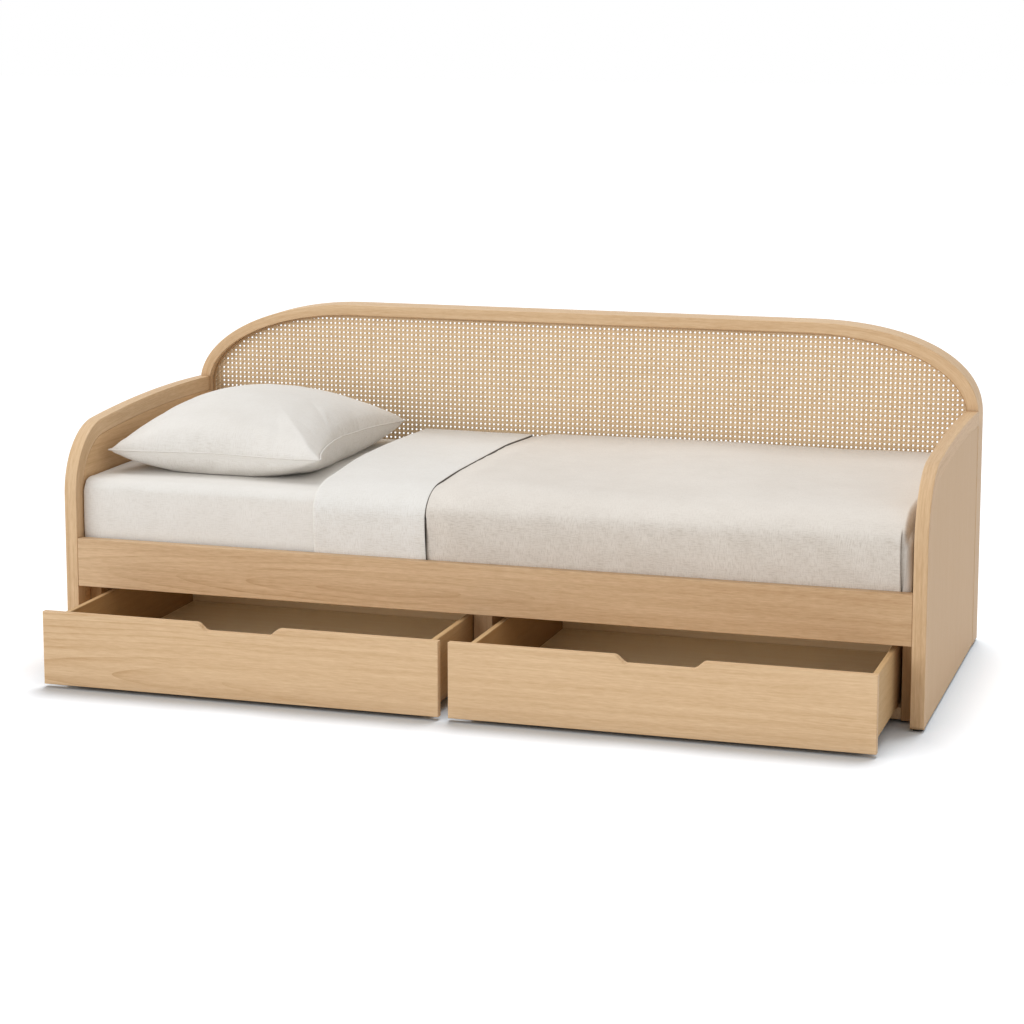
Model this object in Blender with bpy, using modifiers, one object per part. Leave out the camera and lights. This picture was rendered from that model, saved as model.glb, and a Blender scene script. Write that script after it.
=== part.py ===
"""Storage daybed in light oak with an arched cane back, two open underbed drawers, a slatted base,
a mattress, a pillow, a turned-down top sheet and a coverlet. Metres, Z up, drawers pulled out a little.
The side frames' front edges lie in the plane y = 0 of the empty that carries everything."""

import math

import bmesh
import bpy

# Gap that touching pieces keep, and the wider one that cloth keeps from what it lies on
GAP = 0.0003
CLOTH_GAP = 0.0006
WELD = 0.0001

# Mattress, which sets the size of the frame round it
MATTRESS_LENGTH = 1.910
MATTRESS_DEPTH = 0.755
MATTRESS_TOP = 0.432
MATTRESS_EDGE_RADIUS = 0.026
MATTRESS_EDGE_ANGLE = math.radians(50)
MATTRESS_CROWN_DROP = 0.004
MATTRESS_SIDE_BULGE = 0.004
MATTRESS_LEFT_ROOM = 0.003
MATTRESS_RIGHT_ROOM = 0.017
MATTRESS_BACK_ROOM = 0.005
TUCK_ROOM = 0.008
MATTRESS_CELLS_X = 22
MATTRESS_CELLS_Y = 11
MATTRESS_LAYERS = 2
CROWN_POWER_X = 14
CROWN_POWER_Y = 6

# Drawers
DRAWER_PULL = 0.218
DRAWER_LEFT_END_GAP = 0.020
DRAWER_RIGHT_END_GAP = 0.034
DRAWER_MIDDLE_GAP = 0.022
DRAWER_BACK_ROOM = 0.090
DRAWER_FRONT_THICKNESS = 0.018
DRAWER_FRONT_BOTTOM = 0.008
DRAWER_FRONT_HEIGHT = 0.166
DRAWER_SIDE_THICKNESS = 0.013
DRAWER_SIDE_INSET_LEFT = 0.041
DRAWER_1_SIDE_INSET_RIGHT = 0.014
DRAWER_2_SIDE_INSET_RIGHT = 0.003
DRAWER_SIDE_DROP = 0.004
DRAWER_BACK_DROP = 0.012
DRAWER_BOTTOM_THICKNESS = 0.008
DRAWER_BOTTOM_LIFT = 0.006
NOTCH_TOP_WIDTH = 0.188
NOTCH_BOTTOM_WIDTH = 0.151
NOTCH_OFFSET = 0.004
NOTCH_DEPTH = 0.017
NOTCH_ROUND = 0.006
RUNNER_HEIGHT = 0.026
RUNNER_LIFT = 0.002
RUNNER_INNER_LIP = 0.001
RUNNER_BACK_ROOM = 0.030
GUIDE_LIFT = 0.004
GUIDE_CLEARANCE = 0.0015
GUIDE_WIDTH = 0.014

# Whole frame
SIDE_THICKNESS = 0.030
FRAME_HEIGHT = 0.765
GLIDE_HEIGHT = 0.006
GLIDE_RADIUS = 0.011
GLIDE_SIDES = 16
EASE = 0.0012
FINE_EASE = 0.0006

# Front rail and slatted base
RAIL_THICKNESS = 0.022
RAIL_HEIGHT = 0.112
RAIL_OVER_DRAWERS = 0.010
LEDGE_DEPTH = 0.025
LEDGE_HEIGHT = 0.0247
LEDGE_LIFT = 0.0463
SLAT_COUNT = 13
SLAT_WIDTH = 0.070
SLAT_THICKNESS = 0.015
SLAT_END_GAP = 0.003

# Partition and runner boards that carry the drawers
PARTITION_THICKNESS = 0.044
RUNNER_BOARD_THICKNESS = 0.0277
BOARD_SETBACK = 0.060
BOARD_NOSE_LIFT = 0.006
PARTITION_GLIDE_SETBACK = 0.060

# Side frames: a bent band round an infill panel
BAND_WIDTH = 0.036
SHOULDER_RADIUS = 0.160
SHOULDER_TILT = math.radians(5.1)
SHOULDER_STEPS = 12
ARM_PEAK_HEIGHT = 0.574
ARM_PEAK_DEPTH_SHARE = 0.66
ARM_STEPS = 12
PANEL_OUTER_RECESS = 0.001

# Back
ARCH_DEPTH = 0.080
ARCH_THICKNESS = 0.026
ARCH_CORNER_REACH = 0.420
ARCH_CORNER_RISE = 0.215
ARCH_CORNER_STEPS = 16
BACK_RAIL_THICKNESS = 0.022
BACK_RAIL_SETBACK = 0.020
BACK_RAIL_BELOW_BED = 0.032
CANE_THICKNESS = 0.003
CANE_SETBACK = 0.030
CANE_PITCH_X = 0.060
CANE_PITCH_Z = 0.0395
CANE_STRAND = 0.008
CANE_MARGIN = 0.012
SPLINE_WIDTH = 0.006
SPLINE_DEPTH = 0.005

# Sheet and coverlet
SHEET_FROM_PILLOW = 0.034
SHEET_WIDTH = 0.268
SHEET_THICKNESS = 0.028
SHEET_FRONT_BULGE = 0.005
COVERLET_END_ROOM = 0.007
COVERLET_THICKNESS = 0.032
COVERLET_PUFF = 0.014
COVERLET_FRONT_BULGE = 0.0145
COVER_BACK_ROOM = 0.006
TUCK_DEPTH = 0.011
DROP_BEND_RADIUS = 0.036
BACK_HEM_SHARE = 0.35
END_HEM_SHARE = 0.7
MIDDLE_SHARE = 0.5
PATH_TUCK_CELLS = 1
PATH_DROP_CELLS = 4
PATH_BEND_CELLS = 5
PATH_TOP_CELLS = 12
PATH_CELLS = PATH_TUCK_CELLS + PATH_DROP_CELLS + PATH_BEND_CELLS + PATH_TOP_CELLS
SHEET_CELLS = 6
COVERLET_CELLS = 20
PUFF_WAVES_X = 3.0
PUFF_WAVES_Y = 1.5

# Pillow
PILLOW_WIDTH = 0.520
PILLOW_FROM_ARM = 0.023
PILLOW_FRONT_ROOM = 0.075
PILLOW_BACK_ROOM = 0.050
PILLOW_SEAM_LIFT = 0.052
PILLOW_CROWN = 0.116
PILLOW_UNDERSIDE_DEPTH = 0.090
PILLOW_RIM = 0.004
PILLOW_SIDE_DRAW = 0.022
PILLOW_POWER = 0.62
PILLOW_CELLS_X = 18
PILLOW_CELLS_Y = 22

# Heights that follow, from the floor up
DRAWER_FRONT_TOP = DRAWER_FRONT_BOTTOM + DRAWER_FRONT_HEIGHT
RUNNER_BOTTOM = GLIDE_HEIGHT + RUNNER_LIFT
RUNNER_TOP = RUNNER_BOTTOM + RUNNER_HEIGHT
RAIL_BOTTOM = DRAWER_FRONT_TOP + RAIL_OVER_DRAWERS
RAIL_TOP = RAIL_BOTTOM + RAIL_HEIGHT
BOARD_NOSE_BOTTOM = RAIL_BOTTOM + BOARD_NOSE_LIFT
LEDGE_BOTTOM = RAIL_BOTTOM + LEDGE_LIFT
LEDGE_TOP = LEDGE_BOTTOM + LEDGE_HEIGHT
BOARD_TOP = LEDGE_BOTTOM - GAP
SLAT_BOTTOM = LEDGE_TOP + GAP
MATTRESS_BOTTOM = SLAT_BOTTOM + SLAT_THICKNESS + GAP
DROP_BOTTOM = RAIL_TOP - TUCK_DEPTH
BACK_RAIL_TOP = MATTRESS_TOP - BACK_RAIL_BELOW_BED
PILLOW_SEAM_HEIGHT = MATTRESS_TOP + PILLOW_SEAM_LIFT

# Places that follow, from front to back
MATTRESS_FRONT = RAIL_THICKNESS + TUCK_ROOM
DROP_THICKNESS = TUCK_ROOM - CLOTH_GAP * 2
BACK_RAIL_FRONT = MATTRESS_FRONT + MATTRESS_DEPTH + MATTRESS_BACK_ROOM
ARCH_FRONT = BACK_RAIL_FRONT - BACK_RAIL_SETBACK
FRAME_DEPTH = ARCH_FRONT + ARCH_DEPTH
DRAWER_LENGTH = BACK_RAIL_FRONT - DRAWER_BACK_ROOM
COVER_BACK = BACK_RAIL_FRONT - COVER_BACK_ROOM
PILLOW_LENGTH = MATTRESS_DEPTH - PILLOW_FRONT_ROOM - PILLOW_BACK_ROOM
PILLOW_CENTRE_Y = MATTRESS_FRONT + PILLOW_FRONT_ROOM + PILLOW_LENGTH / 2
FRAME_CENTRE_Y = (FRAME_DEPTH - DRAWER_PULL) / 2

# Places that follow, from the middle to the ends
HALF_INNER = (MATTRESS_LEFT_ROOM + MATTRESS_LENGTH + MATTRESS_RIGHT_ROOM) / 2
MATTRESS_CENTRE_X = (MATTRESS_LEFT_ROOM - MATTRESS_RIGHT_ROOM) / 2
INNER_WIDTH = HALF_INNER * 2
HALF_WIDTH = HALF_INNER + SIDE_THICKNESS
ARCH_INNER_X = HALF_WIDTH - ARCH_THICKNESS
PILLOW_CENTRE_X = PILLOW_FROM_ARM + PILLOW_WIDTH / 2 - HALF_INNER
SHEET_LEFT = PILLOW_CENTRE_X + PILLOW_WIDTH / 2 + SHEET_FROM_PILLOW
SHEET_RIGHT = SHEET_LEFT + SHEET_WIDTH
COVERLET_RIGHT = HALF_INNER - COVERLET_END_ROOM


def clear_scene():
    for obj in list(bpy.data.objects):
        bpy.data.objects.remove(obj, do_unlink=True)


def new_collection(name, cutters=False):
    group = bpy.data.collections.new(name)
    bpy.context.scene.collection.children.link(group)
    group.hide_render = cutters
    return group


def material(name, colour, roughness):
    made = bpy.data.materials.new(name)
    made.use_nodes = True
    shader = made.node_tree.nodes["Principled BSDF"]
    shader.inputs["Base Color"].default_value = (*colour, 1.0)
    shader.inputs["Roughness"].default_value = roughness
    shader.inputs["Metallic"].default_value = 0.0
    made.diffuse_color = (*colour, 1.0)
    return made


def oak(name):
    return material(name, (0.68, 0.48, 0.29), 0.55)


def oak_veneer(name):
    return material(name, (0.60, 0.44, 0.30), 0.6)


def pale_ply(name):
    return material(name, (0.74, 0.58, 0.38), 0.65)


def cane(name):
    return material(name, (0.72, 0.53, 0.32), 0.6)


def black_plastic(name):
    return material(name, (0.03, 0.03, 0.03), 0.5)


def white_cotton(name):
    return material(name, (0.85, 0.83, 0.80), 0.9)


def linen(name):
    return material(name, (0.72, 0.66, 0.58), 0.95)


def add_empty(name, location, parent, group):
    empty = bpy.data.objects.new(name, None)
    empty.location = location
    empty.parent = parent
    group.objects.link(empty)
    return empty


def place(obj, location, parent, paint):
    obj.location = location
    obj.parent = parent
    obj.data.materials.append(paint(obj.name + "_surface"))
    return obj


def box_mesh(name, size):
    mesh = bpy.data.meshes.new(name)
    shape = bmesh.new()
    bmesh.ops.create_cube(shape, size=1.0)
    bmesh.ops.scale(shape, vec=size, verts=shape.verts)
    shape.to_mesh(mesh)
    shape.free()
    return mesh


def add_board(name, low, high, parent, paint, ease=EASE):
    """A rectangular piece between two opposite corners, with its edges eased."""
    size = tuple(b - a for a, b in zip(low, high))
    centre = tuple((a + b) / 2 for a, b in zip(low, high))
    obj = bpy.data.objects.new(name, box_mesh(name, size))
    PARTS.objects.link(obj)
    if ease:
        soften = obj.modifiers.new("eased_edges", "BEVEL")
        soften.width = ease
        soften.segments = 1
    return place(obj, centre, parent, paint)


def add_plate(name, outlines, thickness, across, centre, parent, paint, ease=EASE):
    """A flat piece cut to outlines in x and z, or in y and z where its thickness runs across X."""
    curve = bpy.data.curves.new(name, "CURVE")
    curve.dimensions = "2D"
    curve.fill_mode = "BOTH"
    curve.extrude = thickness / 2 - ease
    curve.bevel_depth = ease
    curve.bevel_resolution = 0
    curve.offset = -ease
    for outline in outlines:
        spline = curve.splines.new("POLY")
        spline.points.add(len(outline) - 1)
        spline.use_cyclic_u = True
        for point, (a, b) in zip(spline.points, outline):
            point.co = (a, b, 0.0, 1.0)
    obj = bpy.data.objects.new(name, curve)
    PARTS.objects.link(obj)
    quarter = math.pi / 2
    obj.rotation_euler = (quarter, 0.0, 0.0) if across == "Y" else (quarter, 0.0, quarter)
    location = (0.0, centre, 0.0) if across == "Y" else (centre, 0.0, 0.0)
    return place(obj, location, parent, paint)


def meshed(obj):
    """The same piece as a mesh with its caps joined to its sides, so that it can be cut."""
    bpy.context.view_layer.update()
    graph = bpy.context.evaluated_depsgraph_get()
    mesh = bpy.data.meshes.new_from_object(obj.evaluated_get(graph))
    shape = bmesh.new()
    shape.from_mesh(mesh)
    bmesh.ops.remove_doubles(shape, verts=shape.verts, dist=WELD)
    bmesh.ops.recalc_face_normals(shape, faces=shape.faces)
    shape.to_mesh(mesh)
    shape.free()
    name = obj.name
    solid = bpy.data.objects.new(name + "_solid", mesh)
    PARTS.objects.link(solid)
    solid.parent = obj.parent
    solid.location = obj.location
    solid.rotation_euler = obj.rotation_euler
    bpy.data.objects.remove(obj, do_unlink=True)
    solid.name = name
    return solid


def arm_path():
    """The side frame's outer edge, from front foot to back post, as points with outward directions."""
    peak_y = FRAME_DEPTH * ARM_PEAK_DEPTH_SHARE
    join_y = SHOULDER_RADIUS * (1 - math.sin(SHOULDER_TILT))
    bend = math.tan(SHOULDER_TILT) / (peak_y - join_y) / 2
    join_z = ARM_PEAK_HEIGHT - bend * (peak_y - join_y) ** 2
    centre_z = join_z - SHOULDER_RADIUS * math.cos(SHOULDER_TILT)
    path = [((0.0, GLIDE_HEIGHT), (-1.0, 0.0))]
    turn = math.pi / 2 - SHOULDER_TILT
    for step in range(SHOULDER_STEPS + 1):
        angle = turn * step / SHOULDER_STEPS
        out = (-math.cos(angle), math.sin(angle))
        y = SHOULDER_RADIUS + SHOULDER_RADIUS * out[0]
        path.append(((y, centre_z + SHOULDER_RADIUS * out[1]), out))
    end_y = ARCH_FRONT - GAP
    for step in range(1, ARM_STEPS + 1):
        y = join_y + (end_y - join_y) * step / ARM_STEPS
        slope = math.atan(bend * (peak_y - y) * 2)
        z = ARM_PEAK_HEIGHT - bend * (peak_y - y) ** 2
        path.append(((y, z), (-math.sin(slope), math.cos(slope))))
    return path


def inset_path(path, inward):
    """The path moved inwards, cut off at its last y and at its first z."""
    last_y = path[-1][0][0]
    moved = [(y - inward * out_y, z - inward * out_z) for (y, z), (out_y, out_z) in path]
    return [(min(y, last_y), z) for y, z in moved]


def add_side_frame(side, sign, root):
    path = arm_path()
    outer = inset_path(path, 0.0)
    inner = inset_path(path, BAND_WIDTH)
    centre = sign * (HALF_INNER + SIDE_THICKNESS / 2)
    add_plate("side_band_" + side, [outer + inner[::-1]], SIDE_THICKNESS, "X", centre, root, oak)
    infill = inset_path(path, BAND_WIDTH + GAP)
    last_y = infill[-1][0]
    outline = infill + [(last_y, GLIDE_HEIGHT)]
    thickness = SIDE_THICKNESS - PANEL_OUTER_RECESS
    centre = sign * (HALF_INNER + thickness / 2)
    add_plate("side_panel_" + side, [outline], thickness, "X", centre, root, oak_veneer, FINE_EASE)


def arch_edge(inward, bottom):
    """The arch's outline, moved inwards, from the left foot over the top to the right foot."""
    reach = ARCH_CORNER_REACH - inward
    rise = ARCH_CORNER_RISE - inward
    centre_x = HALF_WIDTH - ARCH_CORNER_REACH
    centre_z = FRAME_HEIGHT - ARCH_CORNER_RISE
    left = [(-centre_x - reach, bottom)]
    for step in range(ARCH_CORNER_STEPS + 1):
        angle = math.pi / 2 * step / ARCH_CORNER_STEPS
        left.append((-centre_x - reach * math.cos(angle), centre_z + rise * math.sin(angle)))
    right = [(-x, z) for x, z in left[::-1]]
    return left + right


def add_back(root):
    outer = arch_edge(0.0, GLIDE_HEIGHT)
    inner = arch_edge(ARCH_THICKNESS, GLIDE_HEIGHT)
    centre = ARCH_FRONT + ARCH_DEPTH / 2
    add_plate("back_arch", [outer + inner[::-1]], ARCH_DEPTH, "Y", centre, root, oak)
    low = (-ARCH_INNER_X + GAP, BACK_RAIL_FRONT, RAIL_BOTTOM)
    high = (ARCH_INNER_X - GAP, BACK_RAIL_FRONT + BACK_RAIL_THICKNESS, BACK_RAIL_TOP)
    add_board("back_rail", low, high, root, oak)
    spline_outer = arch_edge(ARCH_THICKNESS + GAP, BACK_RAIL_TOP + GAP)
    spline_inner = arch_edge(ARCH_THICKNESS + GAP + SPLINE_WIDTH, BACK_RAIL_TOP + GAP + SPLINE_WIDTH)
    cane_y = ARCH_FRONT + CANE_SETBACK
    front = cane_y - CANE_THICKNESS / 2 - GAP
    centre = front - SPLINE_DEPTH / 2
    add_plate("cane_spline", [spline_outer, spline_inner], SPLINE_DEPTH, "Y", centre, root, cane, FINE_EASE)
    add_cane(cane_y, spline_outer, root)


def inside_arch(x, z, inward):
    """Whether a point lies inside the arch's inner edge by at least this much."""
    reach = ARCH_CORNER_REACH - inward
    rise = ARCH_CORNER_RISE - inward
    across = max(abs(x) - (HALF_WIDTH - ARCH_CORNER_REACH), 0.0) / reach
    up = max(z - (FRAME_HEIGHT - ARCH_CORNER_RISE), 0.0) / rise
    return abs(x) < HALF_WIDTH - inward and math.hypot(across, up) < 1


def add_cane(cane_y, outline, root):
    """The webbing as a flat net: a plate with rows of openings."""
    plate = meshed(add_plate("cane_webbing", [outline], CANE_THICKNESS, "Y", cane_y, root, cane, 0.0))
    shape = bmesh.new()
    wide = CANE_PITCH_X - CANE_STRAND
    tall = CANE_PITCH_Z - CANE_STRAND
    deep = CANE_THICKNESS * 2
    inward = ARCH_THICKNESS + CANE_MARGIN
    columns = int(HALF_INNER / CANE_PITCH_X)
    rows = int((FRAME_HEIGHT - BACK_RAIL_TOP) / CANE_PITCH_Z)
    for column in range(-columns, columns + 1):
        for row in range(rows):
            x = column * CANE_PITCH_X
            z = BACK_RAIL_TOP + CANE_MARGIN + (row + MIDDLE_SHARE) * CANE_PITCH_Z
            top = z + tall / 2
            if not all(inside_arch(a, top, inward) for a in (x - wide / 2, x + wide / 2)):
                continue
            made = bmesh.ops.create_cube(shape, size=1.0)["verts"]
            bmesh.ops.scale(shape, vec=(wide, deep, tall), verts=made)
            bmesh.ops.translate(shape, vec=(x, cane_y, z), verts=made)
    mesh = bpy.data.meshes.new("cane_openings")
    shape.to_mesh(mesh)
    shape.free()
    cutter = bpy.data.objects.new("cane_openings", mesh)
    cutter.parent = root
    cutter.hide_render = True
    cutter.display_type = "WIRE"
    CUTTERS.objects.link(cutter)
    cut = plate.modifiers.new("openings", "BOOLEAN")
    cut.operation = "DIFFERENCE"
    cut.solver = "EXACT"
    cut.object = cutter


def add_base(root):
    edge = HALF_INNER - GAP
    high = (edge, RAIL_THICKNESS, RAIL_TOP)
    add_board("front_rail", (-edge, 0.0, RAIL_BOTTOM), high, root, oak)
    front = RAIL_THICKNESS + GAP
    back = BACK_RAIL_FRONT - GAP
    for side, near in (("front", front), ("back", back - LEDGE_DEPTH)):
        low = (-edge, near, LEDGE_BOTTOM)
        high = (edge, near + LEDGE_DEPTH, LEDGE_TOP)
        add_board("slat_ledge_" + side, low, high, root, pale_ply)
    spread = INNER_WIDTH - SLAT_WIDTH - SLAT_END_GAP * 2
    for number in range(SLAT_COUNT):
        centre = spread * (number / (SLAT_COUNT - 1) - MIDDLE_SHARE)
        low = (centre - SLAT_WIDTH / 2, front + GAP, SLAT_BOTTOM)
        high = (centre + SLAT_WIDTH / 2, back - GAP, SLAT_BOTTOM + SLAT_THICKNESS)
        add_board(f"slat_{number + 1:02d}", low, high, root, pale_ply)


def board_outline():
    """A board that stands behind the drawer fronts, with a nose above them that reaches the front rail."""
    front = RAIL_THICKNESS + GAP
    back = BACK_RAIL_FRONT - GAP
    return [
        (BOARD_SETBACK, GLIDE_HEIGHT),
        (back, GLIDE_HEIGHT),
        (back, BOARD_TOP),
        (front, BOARD_TOP),
        (front, BOARD_NOSE_BOTTOM),
        (BOARD_SETBACK, BOARD_NOSE_BOTTOM),
    ]


def add_drawer_carriers(root):
    outline = board_outline()
    add_plate("centre_partition", [outline], PARTITION_THICKNESS, "X", 0.0, root, oak_veneer)
    centre = HALF_INNER - GAP - RUNNER_BOARD_THICKNESS / 2
    for side, place_x in (("left", -centre), ("right", centre)):
        name = "runner_board_" + side
        add_plate(name, [outline], RUNNER_BOARD_THICKNESS, "X", place_x, root, oak_veneer)
    board_face = HALF_INNER - GAP - RUNNER_BOARD_THICKNESS
    partition_face = PARTITION_THICKNESS / 2
    reach = DRAWER_SIDE_THICKNESS + RUNNER_INNER_LIP
    walls = ((-board_face, -partition_face), (partition_face, board_face))
    for number, (left_wall, right_wall) in enumerate(walls, start=1):
        outer_left, outer_right = side_faces(number)
        add_ledge(number, "left", left_wall + GAP, outer_left + reach, root)
        add_ledge(number, "right", outer_right - reach, right_wall - GAP, root)


def add_ledge(number, side, low_x, high_x, root):
    low = (low_x, BOARD_SETBACK, RUNNER_BOTTOM)
    high = (high_x, BACK_RAIL_FRONT - RUNNER_BACK_ROOM, RUNNER_TOP)
    add_board(f"drawer_runner_{number}_{side}", low, high, root, oak)


def drawer_spans():
    """The left and right ends of the two drawer fronts."""
    near = DRAWER_MIDDLE_GAP / 2
    left_end = DRAWER_LEFT_END_GAP - HALF_INNER
    right_end = HALF_INNER - DRAWER_RIGHT_END_GAP
    return ((left_end, -near), (near, right_end))


def side_faces(number):
    """The outer faces of a drawer box, which sits a little to one side behind its front."""
    left, right = drawer_spans()[number - 1]
    inset = DRAWER_1_SIDE_INSET_RIGHT if number == 1 else DRAWER_2_SIDE_INSET_RIGHT
    return left + DRAWER_SIDE_INSET_LEFT, right - inset


def notched_front(left, right):
    """A drawer front's outline with a sloped hand notch near the middle of its top edge."""
    middle = (left + right) / 2 + NOTCH_OFFSET
    top = DRAWER_FRONT_TOP
    low = top - NOTCH_DEPTH
    wide = NOTCH_TOP_WIDTH / 2
    narrow = NOTCH_BOTTOM_WIDTH / 2
    ease = NOTCH_ROUND / 2
    slope = [
        (wide + ease, top),
        (wide - ease, top - ease),
        (narrow + ease, low + ease),
        (narrow - ease, low),
    ]
    right_slope = [(middle + x, z) for x, z in slope]
    left_slope = [(middle - x, z) for x, z in slope[::-1]]
    corners = [(left, top), (left, DRAWER_FRONT_BOTTOM), (right, DRAWER_FRONT_BOTTOM), (right, top)]
    return corners + right_slope + left_slope


def add_drawer(number, left, right, root):
    name = f"drawer_{number}"
    body = add_empty(name, (0.0, -DRAWER_PULL, 0.0), root, PARTS)
    thick = DRAWER_FRONT_THICKNESS
    add_plate(name + "_front", [notched_front(left, right)], thick, "Y", thick / 2, body, oak)
    start = thick + GAP
    end = DRAWER_LENGTH
    outer_left, outer_right = side_faces(number)
    inner_left = outer_left + DRAWER_SIDE_THICKNESS
    inner_right = outer_right - DRAWER_SIDE_THICKNESS
    side_bottom = RUNNER_TOP + GAP
    side_top = DRAWER_FRONT_TOP - DRAWER_SIDE_DROP
    for side, x in (("left", outer_left), ("right", inner_right)):
        high = (x + DRAWER_SIDE_THICKNESS, end, side_top)
        add_board(name + "_side_" + side, (x, start, side_bottom), high, body, pale_ply)
    floor = side_bottom + DRAWER_BOTTOM_LIFT
    floor_top = floor + DRAWER_BOTTOM_THICKNESS
    low = (inner_left + GAP, start, floor)
    high = (inner_right - GAP, end, floor_top)
    add_board(name + "_bottom", low, high, body, pale_ply, FINE_EASE)
    low = (inner_left + GAP, end - DRAWER_SIDE_THICKNESS, floor_top + GAP)
    high = (inner_right - GAP, end, side_top - DRAWER_BACK_DROP)
    add_board(name + "_back", low, high, body, pale_ply)
    inward = RUNNER_INNER_LIP + GUIDE_CLEARANCE
    for side, x in (("left", inner_left + inward), ("right", inner_right - inward - GUIDE_WIDTH)):
        low = (x, start, RUNNER_BOTTOM + GUIDE_LIFT)
        high = (x + GUIDE_WIDTH, end, floor - GAP)
        add_board(name + "_guide_" + side, low, high, body, oak)


def add_glide(name, x, y, root):
    mesh = bpy.data.meshes.new(name)
    shape = bmesh.new()
    height = GLIDE_HEIGHT - GAP
    size = {"radius1": GLIDE_RADIUS, "radius2": GLIDE_RADIUS, "depth": height}
    bmesh.ops.create_cone(shape, cap_ends=True, segments=GLIDE_SIDES, **size)
    shape.to_mesh(mesh)
    shape.free()
    obj = bpy.data.objects.new(name, mesh)
    PARTS.objects.link(obj)
    return place(obj, (x, y, height / 2), root, black_plastic)


def add_glides(root):
    band_x = HALF_INNER + SIDE_THICKNESS / 2
    post_x = HALF_WIDTH - ARCH_THICKNESS / 2
    post_y = ARCH_FRONT + ARCH_DEPTH / 2
    for side, sign in (("left", -1), ("right", 1)):
        add_glide("glide_front_" + side, sign * band_x, BAND_WIDTH / 2, root)
        add_glide("glide_back_" + side, sign * post_x, post_y, root)
    front = BOARD_SETBACK + PARTITION_GLIDE_SETBACK
    add_glide("glide_partition_front", 0.0, front, root)
    add_glide("glide_partition_back", 0.0, BACK_RAIL_FRONT - PARTITION_GLIDE_SETBACK, root)


def bed_top(x, y):
    """Height of the mattress top: flat in the middle, falling a little to its edges."""
    u = (x - MATTRESS_CENTRE_X) / (MATTRESS_LENGTH / 2)
    v = (y - MATTRESS_FRONT) / (MATTRESS_DEPTH / 2) - 1
    return MATTRESS_TOP - MATTRESS_CROWN_DROP * (abs(u) ** CROWN_POWER_X + abs(v) ** CROWN_POWER_Y)


def grid_block(name, cells_a, cells_b, layers, mapping, root, paint):
    """A closed block of grid layers, each of whose places (a, b, c), from 0 to 1, is mapped to a point."""
    shape = bmesh.new()
    bmesh.ops.create_grid(shape, x_segments=cells_a, y_segments=cells_b, size=MIDDLE_SHARE)
    bmesh.ops.translate(shape, vec=(MIDDLE_SHARE, MIDDLE_SHARE, 0.0), verts=shape.verts)
    faces = shape.faces[:]
    for layer in range(layers):
        made = bmesh.ops.extrude_face_region(shape, geom=faces)["geom"]
        lifted = [item for item in made if isinstance(item, bmesh.types.BMVert)]
        bmesh.ops.translate(shape, vec=(0.0, 0.0, 1.0 / layers), verts=lifted)
        if layer:
            inner = [face for face in faces if face.is_valid]
            bmesh.ops.delete(shape, geom=inner, context="FACES_ONLY")
        faces = [item for item in made if isinstance(item, bmesh.types.BMFace)]
    for vert in shape.verts:
        vert.co = mapping(vert.co.x, vert.co.y, vert.co.z)
    bmesh.ops.remove_doubles(shape, verts=shape.verts, dist=WELD)
    bmesh.ops.recalc_face_normals(shape, faces=shape.faces)
    for face in shape.faces:
        face.smooth = True
    mesh = bpy.data.meshes.new(name)
    shape.to_mesh(mesh)
    shape.free()
    obj = bpy.data.objects.new(name, mesh)
    PARTS.objects.link(obj)
    return place(obj, (0.0, 0.0, 0.0), root, paint)


def mattress_point(a, b, c):
    """The mattress: drawn in at its top and bottom edges, a little fuller half way up."""
    drawn = MATTRESS_SIDE_BULGE * (1 - math.sin(math.pi * c))
    x = MATTRESS_CENTRE_X + (a - MIDDLE_SHARE) * (MATTRESS_LENGTH - drawn * 2)
    y = MATTRESS_FRONT + MATTRESS_DEPTH / 2 + (b - MIDDLE_SHARE) * (MATTRESS_DEPTH - drawn * 2)
    return (x, y, MATTRESS_BOTTOM + (bed_top(x, y) - MATTRESS_BOTTOM) * c)


def add_mattress(root):
    cells = (MATTRESS_CELLS_X, MATTRESS_CELLS_Y, MATTRESS_LAYERS)
    obj = grid_block("mattress", *cells, mattress_point, root, white_cotton)
    soften = obj.modifiers.new("rounded_edges", "BEVEL")
    soften.width = MATTRESS_EDGE_RADIUS
    soften.segments = 3
    soften.limit_method = "ANGLE"
    soften.angle_limit = MATTRESS_EDGE_ANGLE


def drape_path(share):
    """Place on a cover's underside, its outward direction, and how far it is from the rail to the bend."""
    inner_y = MATTRESS_FRONT - CLOTH_GAP
    low_z = RAIL_TOP + CLOTH_GAP
    top_z = MATTRESS_TOP + CLOTH_GAP
    radius = DROP_BEND_RADIUS
    cell = share * PATH_CELLS
    if cell <= PATH_TUCK_CELLS:
        z = DROP_BOTTOM + (low_z - DROP_BOTTOM) * cell / PATH_TUCK_CELLS
        return inner_y, z, -1.0, 0.0, 0.0
    cell -= PATH_TUCK_CELLS
    if cell <= PATH_DROP_CELLS:
        rise = cell / PATH_DROP_CELLS
        return inner_y, low_z + (top_z - radius - low_z) * rise, -1.0, 0.0, rise
    cell -= PATH_DROP_CELLS
    if cell <= PATH_BEND_CELLS:
        angle = math.pi / 2 * cell / PATH_BEND_CELLS
        out_y = -math.cos(angle)
        out_z = math.sin(angle)
        return inner_y + radius + radius * out_y, top_z - radius + radius * out_z, out_y, out_z, 1.0
    cell -= PATH_BEND_CELLS
    start = inner_y + radius
    return start + (COVER_BACK - start) * cell / PATH_TOP_CELLS, top_z, 0.0, 1.0, 1.0


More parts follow.
